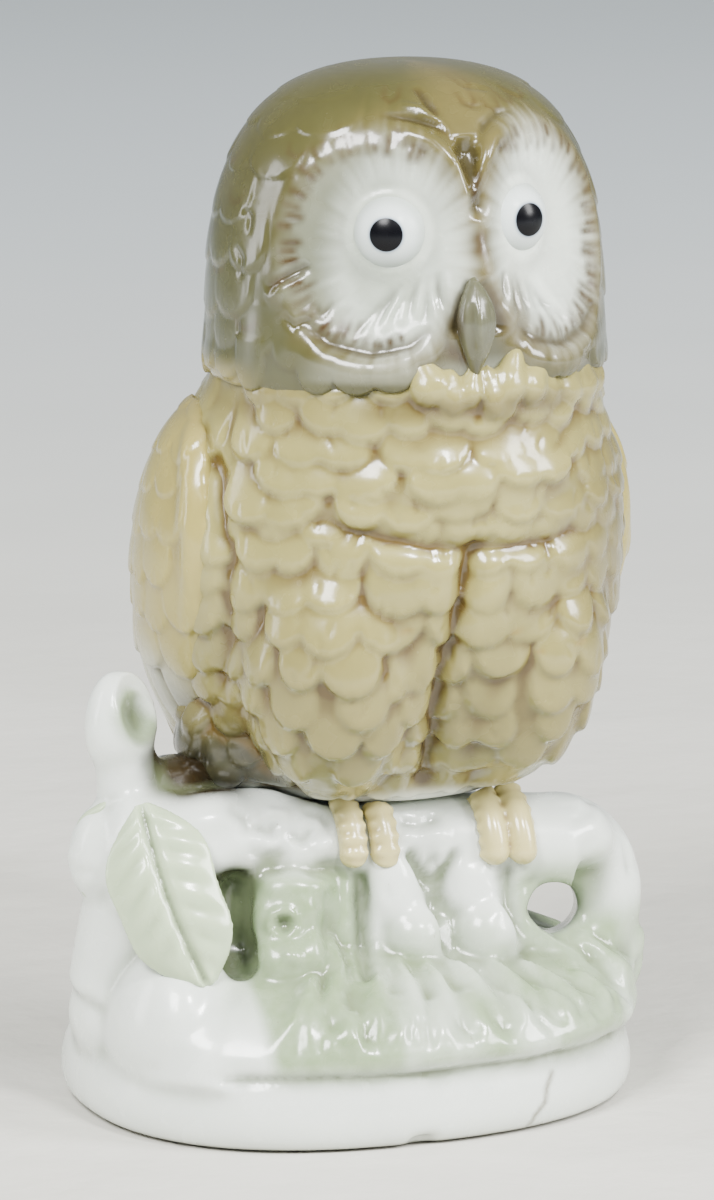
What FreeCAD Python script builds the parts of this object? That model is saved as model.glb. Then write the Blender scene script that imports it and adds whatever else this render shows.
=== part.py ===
"""Porcelain owl on a perch: a slip-cast, luted and glazed figurine, in millimetres.

+Z is up and the owl looks along -Y. The origin is the centre of the bounding box's foot.
Every cast or pressed piece is its own solid, cut to meet its neighbours face to face along
the seam where the pieces are luted together before firing.
"""
import FreeCAD, Part
import math
import os

from FreeCAD import Matrix, Placement, Rotation, Vector

# ---- driving dimensions, mm -------------------------------------------------------------
TOTAL_HEIGHT = 181.0
CAST_WALL = 3.6            # thickness that the slip leaves on the mould
CENTRE_SHIFT = Vector(-0.19, 0.51, 0.0)   # from the modelling axis to the middle of the box

# plinth and ground
PLINTH_HALF_X = 49.6
PLINTH_HALF_Y = 42.2
PLINTH_HEIGHT = 12.0
PLINTH_SQUARENESS = 2.35   # superellipse exponent of the plan
FLOOR_RECESS = 1.6         # the glazed underside stands this far above the foot
FLOOR_THICKNESS = 3.4
FOOT_WIDTH = 4.2
VENT_RADIUS = 4.5
GROUND_TOP = 29.0

# owl
OWL_X = 7.5                # the owl's own plane of symmetry
NECK_Z = 129.0
HEAD_HALF_X = 34.4
HEAD_HALF_Y = 31.0
HEAD_Y = -8.5
HEAD_ROUND_FROM_Z = 135.0
HEAD_SQUARENESS = 2.8
FACE_TURN = 30.0           # each facial disc looks this many degrees to its side
FACE_TILT = -6.0           # and leans back by this many degrees
FACE_DISC_Z = 158.5
FACE_DISC_FROM_AXIS = 26.0
FACE_DISC_RADII = (60.0, 20.0, 42.0)     # of the ellipsoid that dishes each disc
EYE_FROM_MIDDLE = 13.8
EYE_Z = 155.6
EYE_RISE = 0.8             # the left eye is this much higher and the right one lower
EYE_RADIUS = 6.2
EYE_TURN = 21.0
EYE_APEX_Y = -36.2
BEAK_ROOT = Vector(OWL_X + 0.4, -38.6, 143.1)
BEAK_TIP = Vector(OWL_X + 0.4, -40.3, 132.7)
BEAK_TIP_RADIUS = 0.9
BODY_FOOT_Z = 53.0

# perch
LOG_RADIUS = 11.5
LOG_TAPER = 2.2
LOG_DOME = 5.0
LOG_Z = 45.5
LOG_LEFT = Vector(-43.0, -3.0, LOG_Z + 1.0)
LOG_RIGHT = Vector(36.0, -12.5, LOG_Z - 3.0)
ARCH_CENTRE = Vector(33.6, -12.0, 33.2)
ARCH_AXIS = Vector(-0.28, 1.0, -0.1)     # the eye looks forward, a little left and up
ARCH_RADIUS = 11.9
ARCH_THICKNESS = 6.9       # radius of the arching root
AIR_WAY_RADIUS = 3.2
AIR_WAY_FOOT = Vector(6.0, 9.2, 41.0)
LEAF_THICKNESS = 2.4
TWIG_FOOT = Vector(-38.5, -1.5, 48.0)
TWIG_TOP = Vector(-42.0, -0.5, 68.5)
TWIG_FOOT_RADIUS = 7.2
TWIG_TOP_RADIUS = 4.6
TWIG_KNOB_RADII = (5.9, 5.9, 9.4)
TWIG_CUT_FACING = Vector(0.474, -0.803, 0.35).normalize()
TWIG_CUT_AT = 2.6          # the cut lies this far from the knob's middle
TWIG_DISH_RADIUS = 12.0
TWIG_DISH_DEPTH = 1.3
TOE_RADIUS = 2.45
TOE_STANDS_PROUD = 0.5     # a toe's middle line above the log's surface
TOE_BEND = 74.0            # degrees that a toe follows round the log
TOE_END_Z = 1.6            # a toe's last joint, above the log's axis
TOE_X = {"right": (-6.0, -0.4), "left": (19.4, 24.5)}

# Body outline at each height: z, half width, front y, back y
BODY_OUTLINE = [
    (BODY_FOOT_Z, 21.0, -16.0, 15.5),
    (57.0, 25.0, -20.0, 19.0),
    (62.5, 28.8, -25.0, 25.0),
    (69.0, 33.0, -29.5, 30.0),
    (78.0, 36.9, -35.0, 34.0),
    (88.0, 39.4, -38.8, 36.5),
    (98.0, 40.2, -40.5, 37.0),
    (108.0, 39.4, -40.5, 35.6),
    (118.0, 36.8, -39.8, 32.5),
    (NECK_Z, HEAD_HALF_X - 0.3, HEAD_Y - HEAD_HALF_Y, HEAD_Y + HEAD_HALF_Y),
]
# Plinth outline: z, growth of both half widths
PLINTH_OUTLINE = [(0.0, -2.6), (1.6, -0.7), (4.5, 0.0), (8.5, -0.5), (PLINTH_HEIGHT, -1.7)]
# Ground outline: z, half x, half y, middle x
GROUND_OUTLINE = [
    (PLINTH_HEIGHT, 47.7, 40.3, 0.0),
    (15.5, 48.3, 40.9, 1.6),
    (19.0, 47.0, 39.4, 1.8),
    (23.0, 42.6, 35.5, -0.6),
    (26.5, 36.5, 29.5, -3.5),
    (GROUND_TOP, 28.5, 22.0, -4.0),
]
# Stump outline and hollow: z, half width, front y, back y, middle x
STUMP_OUTLINE = [
    (24.0, 27.5, -25.0, 20.0, 2.5),
    (32.0, 25.5, -22.5, 17.0, 2.5),
    (41.0, 24.0, -19.5, 16.5, 2.5),
    (48.0, 22.0, -14.0, 15.5, 3.5),
    (BODY_FOOT_Z, 20.0, -11.0, 14.5, 5.0),
]
STUMP_HOLLOW_OUTLINE = [
    (20.0, 21.0, -19.0, 15.0, 2.5),
    (34.0, 20.0, -17.5, 12.5, 2.5),
    (44.0, 18.0, -11.0, 11.5, 3.0),
]
# Tail outline: z, half width, front y, back y
TAIL_OUTLINE = [(80.0, 15.0, 24.0, 34.0), (64.0, 13.5, 22.0, 34.5), (52.0, 11.0, 22.0, 34.0), (45.0, 8.5, 25.0, 32.5)]
# Wing outline: z, distance of its middle from the owl's middle, middle y, half thickness, half width
WING_OUTLINE = [
    (50.0, 22.0, 27.0, 1.6, 3.0),
    (54.0, 23.2, 25.0, 4.2, 7.0),
    (60.0, 24.8, 20.0, 6.4, 11.5),
    (72.0, 27.8, 12.0, 10.4, 18.0),
    (84.0, 29.8, 6.5, 11.8, 21.5),
    (96.0, 30.8, 3.5, 12.0, 22.5),
    (108.0, 30.9, 2.0, 10.5, 20.5),
    (118.0, 29.8, 0.5, 8.4, 15.5),
    (124.5, 27.5, 1.0, 5.2, 9.5),
]


# ---- shared shapes ----------------------------------------------------------------------
def ellipse_wire(z, half_x, y_front, y_back, x_mid):
    """A level ellipse, always started at its +X end so that lofts don't twist."""
    half_y = (y_back - y_front) / 2
    centre = Vector(x_mid, (y_front + y_back) / 2, z)
    if half_x >= half_y:
        curve = Part.Ellipse(centre + Vector(half_x, 0, 0), centre + Vector(0, half_y, 0), centre)
        return Part.Wire(curve.toShape())
    points = [
        centre + Vector(half_x * math.cos(a), half_y * math.sin(a), 0)
        for a in (math.tau * k / 24 for k in range(24))
    ]
    return smooth_wire(points)


def smooth_wire(points):
    curve = Part.BSplineCurve()
    curve.interpolate(Points=points, PeriodicFlag=True)
    return Part.Wire(curve.toShape())


def squarish_wire(z, half_x, half_y, exponent=PLINTH_SQUARENESS, x_mid=0.0, y_mid=0.0, count=32):
    """A level superellipse: an oval with fuller corners."""
    points = []
    for k in range(count):
        angle = math.tau * k / count
        c, s = math.cos(angle), math.sin(angle)
        x = half_x * math.copysign(abs(c) ** (2 / exponent), c)
        y = half_y * math.copysign(abs(s) ** (2 / exponent), s)
        points.append(Vector(x_mid + x, y_mid + y, z))
    return smooth_wire(points)


def ellipsoid(centre, radii, turn_z=0.0, tilt_x=0.0):
    ball = Part.makeSphere(1.0)
    scale = Matrix()
    scale.scale(Vector(*radii))
    ball = ball.transformGeometry(scale)
    turn = Rotation(Vector(0, 0, 1), turn_z) * Rotation(Vector(1, 0, 0), tilt_x)
    ball.Placement = Placement(centre, turn)
    return ball


def tapered_bar(start, end, start_radius, end_radius):
    along = end - start
    return Part.makeCone(start_radius, end_radius, along.Length, start, along)


def loft(wires):
    return Part.makeLoft(wires, True, False)


def face_direction(side, degrees):
    """Level unit vector that looks forward and to one side."""
    a = math.radians(degrees)
    return Vector(side * math.sin(a), -math.cos(a), 0)


# ---- plinth and ground ------------------------------------------------------------------
def plinth():
    """Low oval band with a rounded foot and a recessed floor with one vent hole."""
    outside = loft([
        squarish_wire(z, PLINTH_HALF_X + grow, PLINTH_HALF_Y + grow)
        for z, grow in PLINTH_OUTLINE
    ])
    recess_x = PLINTH_HALF_X + PLINTH_OUTLINE[0][1] - FOOT_WIDTH
    recess_y = PLINTH_HALF_Y + PLINTH_OUTLINE[0][1] - FOOT_WIDTH
    recess = Part.Face(squarish_wire(-1.0, recess_x, recess_y)).extrude(Vector(0, 0, 1.0 + FLOOR_RECESS))
    floor_top = FLOOR_RECESS + FLOOR_THICKNESS
    hollow = Part.Face(squarish_wire(
        floor_top, PLINTH_HALF_X - 1.7 - CAST_WALL, PLINTH_HALF_Y - 1.7 - CAST_WALL
    )).extrude(Vector(0, 0, PLINTH_HEIGHT))
    vent = Part.makeCylinder(VENT_RADIUS, 20.0, Vector(0, 0, -5.0))
    return outside.cut(recess).cut(hollow).cut(vent)


def ground_form(inset=0.0):
    """The mound; with an inset, its hollow, which starts lower and stops below the crown."""
    outline = list(GROUND_OUTLINE)
    if inset:
        outline = outline[:-1]
        outline[0] = (PLINTH_HEIGHT - 0.5, *outline[0][1:])
    return loft([
        squarish_wire(z, half_x - inset, half_y - inset, x_mid=x_mid)
        for z, half_x, half_y, x_mid in outline
    ])


# ---- perch ------------------------------------------------------------------------------
def stump_form():
    """Gnarled trunk between the ground and the perch."""
    return loft([ellipse_wire(*row) for row in STUMP_OUTLINE])


def stump_hollow():
    return loft([ellipse_wire(*row) for row in STUMP_HOLLOW_OUTLINE])


def air_way():
    """Bored after casting, so that the owl's hollow and the trunk's share the plinth's vent."""
    return Part.makeCylinder(AIR_WAY_RADIUS, 20.0, AIR_WAY_FOOT)


def log_form():
    """Round bar, tapered to the right, with a domed left end; turned from one outline."""
    length = (LOG_RIGHT - LOG_LEFT).Length
    rim = Vector(0, 0, LOG_RADIUS)
    pole = Vector(-LOG_DOME, 0, 0)
    dome_radius = (LOG_RADIUS ** 2 + LOG_DOME ** 2) / (2 * LOG_DOME)
    half_angle = math.asin(LOG_RADIUS / dome_radius) / 2
    dome_centre = pole + Vector(dome_radius, 0, 0)
    on_dome = dome_centre + Vector(-math.cos(half_angle), 0, math.sin(half_angle)) * dome_radius
    far_rim = Vector(length, 0, LOG_RADIUS - LOG_TAPER)
    far = Vector(length, 0, 0)
    outline = Part.Wire([
        Part.Arc(pole, on_dome, rim).toShape(),
        Part.makeLine(rim, far_rim),
        Part.makeLine(far_rim, far),
        Part.makeLine(far, pole),
    ])
    bar = Part.Face(outline).revolve(Vector(0, 0, 0), Vector(1, 0, 0), 360)
    along = Rotation(Vector(1, 0, 0), LOG_RIGHT - LOG_LEFT)
    bar.Placement = Placement(LOG_LEFT, along)
    return bar


def arch_form():
    """Root that leaves the log, arches over and comes down on the ground, round a small eye."""
    ring = Part.makeTorus(ARCH_RADIUS, ARCH_THICKNESS, ARCH_CENTRE, ARCH_AXIS)
    knee = ARCH_CENTRE + Vector(ARCH_RADIUS - 0.5, ARCH_RADIUS * 0.27, 0)
    leg = tapered_bar(knee, Vector(knee.x - 2.2, knee.y, PLINTH_HEIGHT + 2.0), ARCH_THICKNESS - 0.05, 8.0)
    return ring.fuse(leg)


def left_root_form():
    foot = Vector(LOG_LEFT.x + 3.0, LOG_LEFT.y + 3.0, 22.0)
    return tapered_bar(foot, LOG_LEFT + Vector(3.5, 0.5, 0), 11.0, 8.0)


def twig_form():
    """Cut side branch: a stout stem with a swollen end, sawn at a slant and dished."""
    stem = tapered_bar(TWIG_FOOT, TWIG_TOP, TWIG_FOOT_RADIUS, TWIG_TOP_RADIUS)
    knob = ellipsoid(TWIG_TOP, TWIG_KNOB_RADII)
    twig = stem.fuse(knob)
    level = Rotation(Vector(0, 0, 1), TWIG_CUT_FACING)
    saw = Part.makeBox(40, 40, 40, Vector(-20, -20, 0))
    saw.Placement = Placement(TWIG_TOP + TWIG_CUT_FACING * TWIG_CUT_AT, level)
    dish_centre = TWIG_TOP + TWIG_CUT_FACING * (TWIG_CUT_AT + TWIG_DISH_RADIUS - TWIG_DISH_DEPTH)
    dish = Part.makeSphere(TWIG_DISH_RADIUS, dish_centre)
    return twig.cut(saw).cut(dish)


def leaf(length, width, centre, turn_z, tilt_x, roll_y, cup_radius):
    """Pressed leaf: a pointed oval cut from a shallow dome."""
    half = length / 2
    tip, root = Vector(0, 0, -half), Vector(0, 0, half)
    right = Part.Arc(root, Vector(width / 2, 0, half * 0.1), tip).toShape()
    left = Part.Arc(tip, Vector(-width / 2, 0, half * 0.1), root).toShape()
    cutter = Part.Face(Part.Wire([right, left])).extrude(Vector(0, -2 * cup_radius, 0))
    middle = Vector(0, cup_radius, 0)
    dome = Part.makeSphere(cup_radius, middle).cut(Part.makeSphere(cup_radius - LEAF_THICKNESS, middle))
    shell = dome.common(cutter.translated(Vector(0, cup_radius / 2, 0)))
    facing = Rotation(Vector(0, 0, 1), turn_z) * Rotation(Vector(1, 0, 0), tilt_x)
    shell.Placement = Placement(centre, facing * Rotation(Vector(0, 1, 0), roll_y))
    return shell


# ---- owl --------------------------------------------------------------------------------
def body_form():
    return loft([ellipse_wire(z, half_x, front, back, OWL_X) for z, half_x, front, back in BODY_OUTLINE])


def body_hollow():
    rows = [row for row in BODY_OUTLINE if row[0] > BODY_FOOT_Z]
    top = rows[-1]
    rows = rows + [(top[0] + 2.0, *top[1:])]
    return loft([
        ellipse_wire(z, half_x - CAST_WALL, front + CAST_WALL, back - CAST_WALL, OWL_X)
        for z, half_x, front, back in rows
    ])


def head_form(inset=0.0, foot=NECK_Z):
    """Dome turned from a superellipse, narrowed front to back, with two dished faces."""
    half = HEAD_HALF_X - inset
    rise = TOTAL_HEIGHT - inset - HEAD_ROUND_FROM_Z
    outline = [Vector(half, 0, foot)]
    steps = 9
    for k in range(steps + 1):
        angle = math.pi / 2 * k / steps
        r = half * max(0.0, math.cos(angle)) ** (2 / HEAD_SQUARENESS)
        z = HEAD_ROUND_FROM_Z + rise * math.sin(angle) ** (2 / HEAD_SQUARENESS)
        outline.append(Vector(0.0 if k == steps else r, 0, z))
    side = Part.BSplineCurve()
    side.interpolate(outline)
    top, bottom = outline[-1], outline[0]
    wire = Part.Wire([
        side.toShape(),
        Part.makeLine(top, Vector(0, 0, foot)),
        Part.makeLine(Vector(0, 0, foot), bottom),
    ])
    dome = Part.Face(wire).revolve(Vector(0, 0, 0), Vector(0, 0, 1), 360)
    squeeze = Matrix()
    squeeze.scale(Vector(1, (HEAD_HALF_Y - inset) / half, 1))
    dome = dome.transformGeometry(squeeze).translated(Vector(OWL_X, HEAD_Y, 0))
    for side_sign in (-1, 1):
        dome = dome.cut(face_cutter(side_sign, inset))
    return dome


def face_cutter(side_sign, inset=0.0):
    radii = tuple(r + inset for r in FACE_DISC_RADII)
    reach = FACE_DISC_FROM_AXIS + FACE_DISC_RADII[1]
    axis_point = Vector(OWL_X, HEAD_Y, FACE_DISC_Z + side_sign * EYE_RISE)
    centre = axis_point + face_direction(side_sign, FACE_TURN) * reach
    return ellipsoid(centre, radii, turn_z=side_sign * FACE_TURN, tilt_x=FACE_TILT)


def eye_form(side_sign):
    """Domed eyeball set in its disc."""
    apex = Vector(OWL_X + side_sign * EYE_FROM_MIDDLE, EYE_APEX_Y, EYE_Z + side_sign * EYE_RISE)
    return Part.makeSphere(EYE_RADIUS, apex - face_direction(side_sign, EYE_TURN) * EYE_RADIUS)


def beak_on(head):
    """Hooked bill: a round root that tapers to a point and turns down into the breast."""
    root = ellipsoid(BEAK_ROOT, (3.4, 4.6, 5.3), tilt_x=-9.0)
    hook = tapered_bar(BEAK_ROOT + Vector(0, -0.6, -1.0), BEAK_TIP, 3.1, BEAK_TIP_RADIUS)
    hook = hook.fuse(Part.makeSphere(BEAK_TIP_RADIUS, BEAK_TIP))
    return root.cut(head).fuse(hook.cut(head))


def wing_form(side_sign):
    """Folded wing: a long pad that sweeps back and down to its tip."""
    return loft([
        ellipse_wire(z, half_thick, y_mid - half_wide, y_mid + half_wide, OWL_X + side_sign * away)
        for z, away, y_mid, half_thick, half_wide in WING_OUTLINE
    ])


def tail_form():
    """Flat tapering tail below the folded wings."""
    return loft([ellipse_wire(z, half_x, front, back, OWL_X) for z, half_x, front, back in TAIL_OUTLINE])


def toe_form(x):
    """One toe bent over the log: a round bar turned about the log's axis, with a round end."""
    share = (x - LOG_LEFT.x) / (LOG_RIGHT.x - LOG_LEFT.x)
    middle = LOG_LEFT + (LOG_RIGHT - LOG_LEFT) * share
    reach = LOG_RADIUS - LOG_TAPER * share + TOE_STANDS_PROUD
    front = Vector(0, -reach, 0)
    circle = Part.makeCircle(TOE_RADIUS, front, Vector(0, 0, 1))
    bent = Part.Face(Part.Wire([circle])).revolve(Vector(0, 0, 0), Vector(1, 0, 0), -TOE_BEND)
    tip = Part.makeSphere(TOE_RADIUS + 0.06, front)
    toe = bent.fuse(tip)
    toe.rotate(Vector(0, 0, 0), Vector(1, 0, 0), -math.degrees(math.asin(TOE_END_Z / reach)))
    return toe.translated(middle)


# ---- assembly ---------------------------------------------------------------------------
def one_solid(shape):
    """The largest closed solid of a boolean's result."""
    solids = sorted(shape.Solids, key=lambda s: s.Volume, reverse=True)
    return solids[0]


def cut_by(shape, *others):
    """One solid: what is left of a shape outside the pieces it's pressed against."""
    for other in others:
        shape = shape.cut(other)
    return one_solid(shape)


def build_perch(body_full, log_full, stump_full):
    ground_full = ground_form()
    ground_hollow = ground_form(CAST_WALL)
    trunk_hollow = stump_hollow()
    left_root_full = left_root_form()
    twig_full = twig_form()
    large_leaf_full = leaf(32.5, 21.0, Vector(-39.8, -17.4, 42.6), -32.0, -14.0, -10.0, 46.0)
    small_leaf_full = leaf(18.5, 13.0, Vector(-49.2, -1.6, 46.6), -62.0, -5.0, 20.0, 24.0)
    return {
        "plinth": plinth(),
        "ground": cut_by(ground_full, ground_hollow, trunk_hollow),
        "stump": cut_by(stump_full, trunk_hollow, air_way(), body_full, log_full, ground_full),
        "perch_log": cut_by(log_full, body_full),
        "root_arch": cut_by(arch_form(), log_full, stump_full, ground_full),
        "left_root": cut_by(left_root_full, log_full, ground_full, stump_full),
        "cut_twig": cut_by(twig_full, log_full, left_root_full),
        "large_leaf": cut_by(large_leaf_full, log_full, ground_full, left_root_full, twig_full),
        "small_leaf": cut_by(small_leaf_full, log_full, left_root_full, twig_full, large_leaf_full),
    }


def build_owl(body_full, log_full, stump_full):
    head_full = head_form()
    parts = {
        "body_shell": cut_by(body_full, body_hollow(), air_way()),
        "head_shell": cut_by(head_full, head_form(CAST_WALL, NECK_Z - 1.0)),
        "beak": one_solid(beak_on(head_full)),
    }
    for side_sign, side in ((-1, "right"), (1, "left")):
        parts[side + "_eye"] = cut_by(eye_form(side_sign), head_full)
        parts[side + "_wing"] = cut_by(wing_form(side_sign), body_full, head_full, stump_full, log_full)
        toes = [cut_by(toe_form(x), log_full, body_full, stump_full) for x in TOE_X[side]]
        parts[side + "_toes"] = Part.Compound(toes)
    parts["tail"] = cut_by(tail_form(), body_full, stump_full, parts["right_wing"], parts["left_wing"])
    return parts


def build():
    body_full = body_form()
    log_full = log_form()
    stump_full = stump_form()
    return {**build_perch(body_full, log_full, stump_full), **build_owl(body_full, log_full, stump_full)}


def main():
    os.makedirs("parts", exist_ok=True)
    for name, shape in build().items():
        shape.translated(CENTRE_SHIFT).exportStep(os.path.join("parts", name + ".step"))


main()
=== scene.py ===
import math
import random

import bpy
import numpy as np
from mathutils import Matrix, Vector
from mathutils.bvhtree import BVHTree


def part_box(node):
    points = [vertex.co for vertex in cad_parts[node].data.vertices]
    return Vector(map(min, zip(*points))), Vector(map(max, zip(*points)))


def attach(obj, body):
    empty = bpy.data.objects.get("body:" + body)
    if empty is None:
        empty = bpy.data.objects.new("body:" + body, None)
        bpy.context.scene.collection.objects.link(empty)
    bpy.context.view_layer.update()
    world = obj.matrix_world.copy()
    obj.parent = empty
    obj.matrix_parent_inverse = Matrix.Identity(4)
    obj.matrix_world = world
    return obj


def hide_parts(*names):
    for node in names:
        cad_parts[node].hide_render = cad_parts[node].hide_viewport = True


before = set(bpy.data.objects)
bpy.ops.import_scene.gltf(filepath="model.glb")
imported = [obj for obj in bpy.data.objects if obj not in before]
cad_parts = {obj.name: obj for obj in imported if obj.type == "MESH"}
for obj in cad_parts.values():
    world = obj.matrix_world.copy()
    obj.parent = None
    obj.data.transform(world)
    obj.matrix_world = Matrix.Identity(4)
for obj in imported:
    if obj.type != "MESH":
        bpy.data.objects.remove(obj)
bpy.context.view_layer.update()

# Porcelain owl on a perch. Lengths below are millimetres unless a name says otherwise.
MM = 0.001
UP = Vector((0, 0, 1))


def node_middle(node):
    low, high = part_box(node)
    return (Vector(low) + Vector(high)) / 2 / MM


def node_low(node):
    return Vector(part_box(node)[0]) / MM


def node_high(node):
    return Vector(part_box(node)[1]) / MM


OWL_X = (node_low("body_shell").x + node_high("body_shell").x) / 2
HEAD_AXIS = Vector((OWL_X, -8, 0))
BODY_AXIS = Vector((OWL_X, -1.2, 0))
FINE = 0.5       # voxel edge of the finished relief


def direction(azimuth, elevation):
    a, e = math.radians(azimuth), math.radians(elevation)
    return Vector((math.sin(a) * math.cos(e), -math.cos(a) * math.cos(e), math.sin(e)))


# ---- object handling --------------------------------------------------------------------
def only(obj):
    bpy.ops.object.select_all(action="DESELECT")
    obj.select_set(True)
    bpy.context.view_layer.objects.active = obj


def edit_mode():
    bpy.ops.object.mode_set(mode="EDIT")


def object_mode():
    bpy.ops.object.mode_set(mode="OBJECT")


def add_object(name, data):
    obj = bpy.data.objects.new(name, data)
    bpy.context.scene.collection.objects.link(obj)
    return obj


def apply_modifier(obj, kind, **settings):
    only(obj)
    mod = obj.modifiers.new(kind.lower(), kind)
    for key, value in settings.items():
        setattr(mod, key, value)
    bpy.ops.object.modifier_apply(modifier=mod.name)


def voxel(obj, edge):
    apply_modifier(obj, "REMESH", mode="VOXEL", voxel_size=edge * MM, adaptivity=0)


def soften(obj, factor, times):
    apply_modifier(obj, "SMOOTH", factor=factor, iterations=times)


def rework(obj, *steps):
    """Remeshes and smooths by turns; each step is a voxel edge and a number of smoothings."""
    for edge, times in steps:
        voxel(obj, edge)
        soften(obj, 0.5, times)


def join(name, parts):
    only(parts[0])
    for part in parts[1:]:
        part.select_set(True)
    if len(parts) > 1:
        bpy.ops.object.join()
    obj = bpy.context.view_layer.objects.active
    obj.name = name
    obj.data.name = name
    return obj


def freeze(obj):
    """Puts an object's place into its mesh."""
    only(obj)
    bpy.ops.object.transform_apply(location=True, rotation=True, scale=True)
    return obj


def tree_of(*objs):
    verts, faces = [], []
    for obj in objs:
        start = len(verts)
        verts += [v.co.copy() for v in obj.data.vertices]
        faces += [[start + i for i in p.vertices] for p in obj.data.polygons]
    return BVHTree.FromPolygons(verts, faces)


def cad_copy(node, name, inside_of=()):
    """A merged copy of a CAD piece. With inside_of, faces that look at those pieces from inside are dropped."""
    obj = add_object(name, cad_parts[node].data.copy())
    only(obj)
    edit_mode()
    bpy.ops.mesh.select_all(action="SELECT")
    bpy.ops.mesh.remove_doubles(threshold=1e-6)
    bpy.ops.mesh.select_all(action="DESELECT")
    object_mode()
    if inside_of:
        walls = tree_of(*(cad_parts[n] for n in inside_of))
        for face in obj.data.polygons:
            start = face.center + face.normal * 2e-5
            face.select = walls.ray_cast(start, face.normal, 0.2)[0] is not None
        edit_mode()
        bpy.ops.mesh.select_mode(type="FACE")
        bpy.ops.mesh.delete(type="FACE")
        bpy.ops.mesh.select_all(action="SELECT")
        bpy.ops.mesh.fill_holes(sides=0)
        bpy.ops.mesh.quads_convert_to_tris()
        bpy.ops.mesh.normals_make_consistent(inside=False)
        object_mode()
    return obj


def ball(name, centre, radii, turn=(0, 0, 0), segments=24):
    bpy.ops.mesh.primitive_uv_sphere_add(
        segments=segments, ring_count=segments // 2, radius=MM,
        location=Vector(centre) * MM, rotation=[math.radians(a) for a in turn],
    )
    obj = bpy.context.object
    obj.name = name
    obj.scale = radii
    return freeze(obj)


def tube(name, points, radii):
    """A round bar along a smooth line through the points, thick as the radii say."""
    curve = bpy.data.curves.new(name, "CURVE")
    curve.dimensions = "3D"
    curve.bevel_depth = MM
    curve.bevel_resolution = 4
    curve.use_fill_caps = True
    curve.resolution_u = 6
    spline = curve.splines.new("POLY" if len(points) == 2 else "NURBS")
    spline.points.add(len(points) - 1)
    for point, place, radius in zip(spline.points, points, radii):
        point.co = (*(Vector(place) * MM), 1)
        point.radius = radius
    if len(points) > 2:
        spline.order_u = 3
        spline.use_endpoint_u = True
    obj = add_object(name, curve)
    only(obj)
    bpy.ops.object.convert(target="MESH")
    return bpy.context.object


def loft(name, rows, around=64, fullness=2.35):
    """Level ovals joined from below upward: z, half x, half y, middle x, middle y."""
    bpy.ops.mesh.primitive_circle_add(vertices=around, radius=1, fill_type="NOTHING")
    ring = [v.co.copy() for v in bpy.context.object.data.vertices]
    bpy.data.objects.remove(bpy.context.object)
    verts = []
    for z, half_x, half_y, mid_x, mid_y in rows:
        for v in ring:
            x = math.copysign(abs(v.x) ** (2 / fullness), v.x) * half_x + mid_x
            y = math.copysign(abs(v.y) ** (2 / fullness), v.y) * half_y + mid_y
            verts.append(Vector((x, y, z)) * MM)
    faces = [tuple(range(around))[::-1]]
    for r in range(len(rows) - 1):
        for k in range(around):
            a, b = r * around + k, r * around + (k + 1) % around
            faces.append((a, b, b + around, a + around))
    faces.append(tuple(range((len(rows) - 1) * around, len(rows) * around)))
    mesh = bpy.data.meshes.new(name)
    mesh.from_pydata(verts, [], faces)
    obj = add_object(name, mesh)
    only(obj)
    edit_mode()
    bpy.ops.mesh.select_all(action="SELECT")
    bpy.ops.mesh.normals_make_consistent(inside=False)
    object_mode()
    return obj


# ---- clay work: strokes pressed into or raised on a dense mesh ----------------------------
def points_of(mesh, kind):
    values = np.empty(len(mesh.vertices) * 3)
    mesh.vertices.foreach_get(kind, values)
    return values.reshape(-1, 3)


def store_mask(mesh, name, values):
    layer = mesh.attributes.get(name) or mesh.attributes.new(name, "FLOAT", "POINT")
    layer.data.foreach_set("value", values.astype(np.float32))


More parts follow.
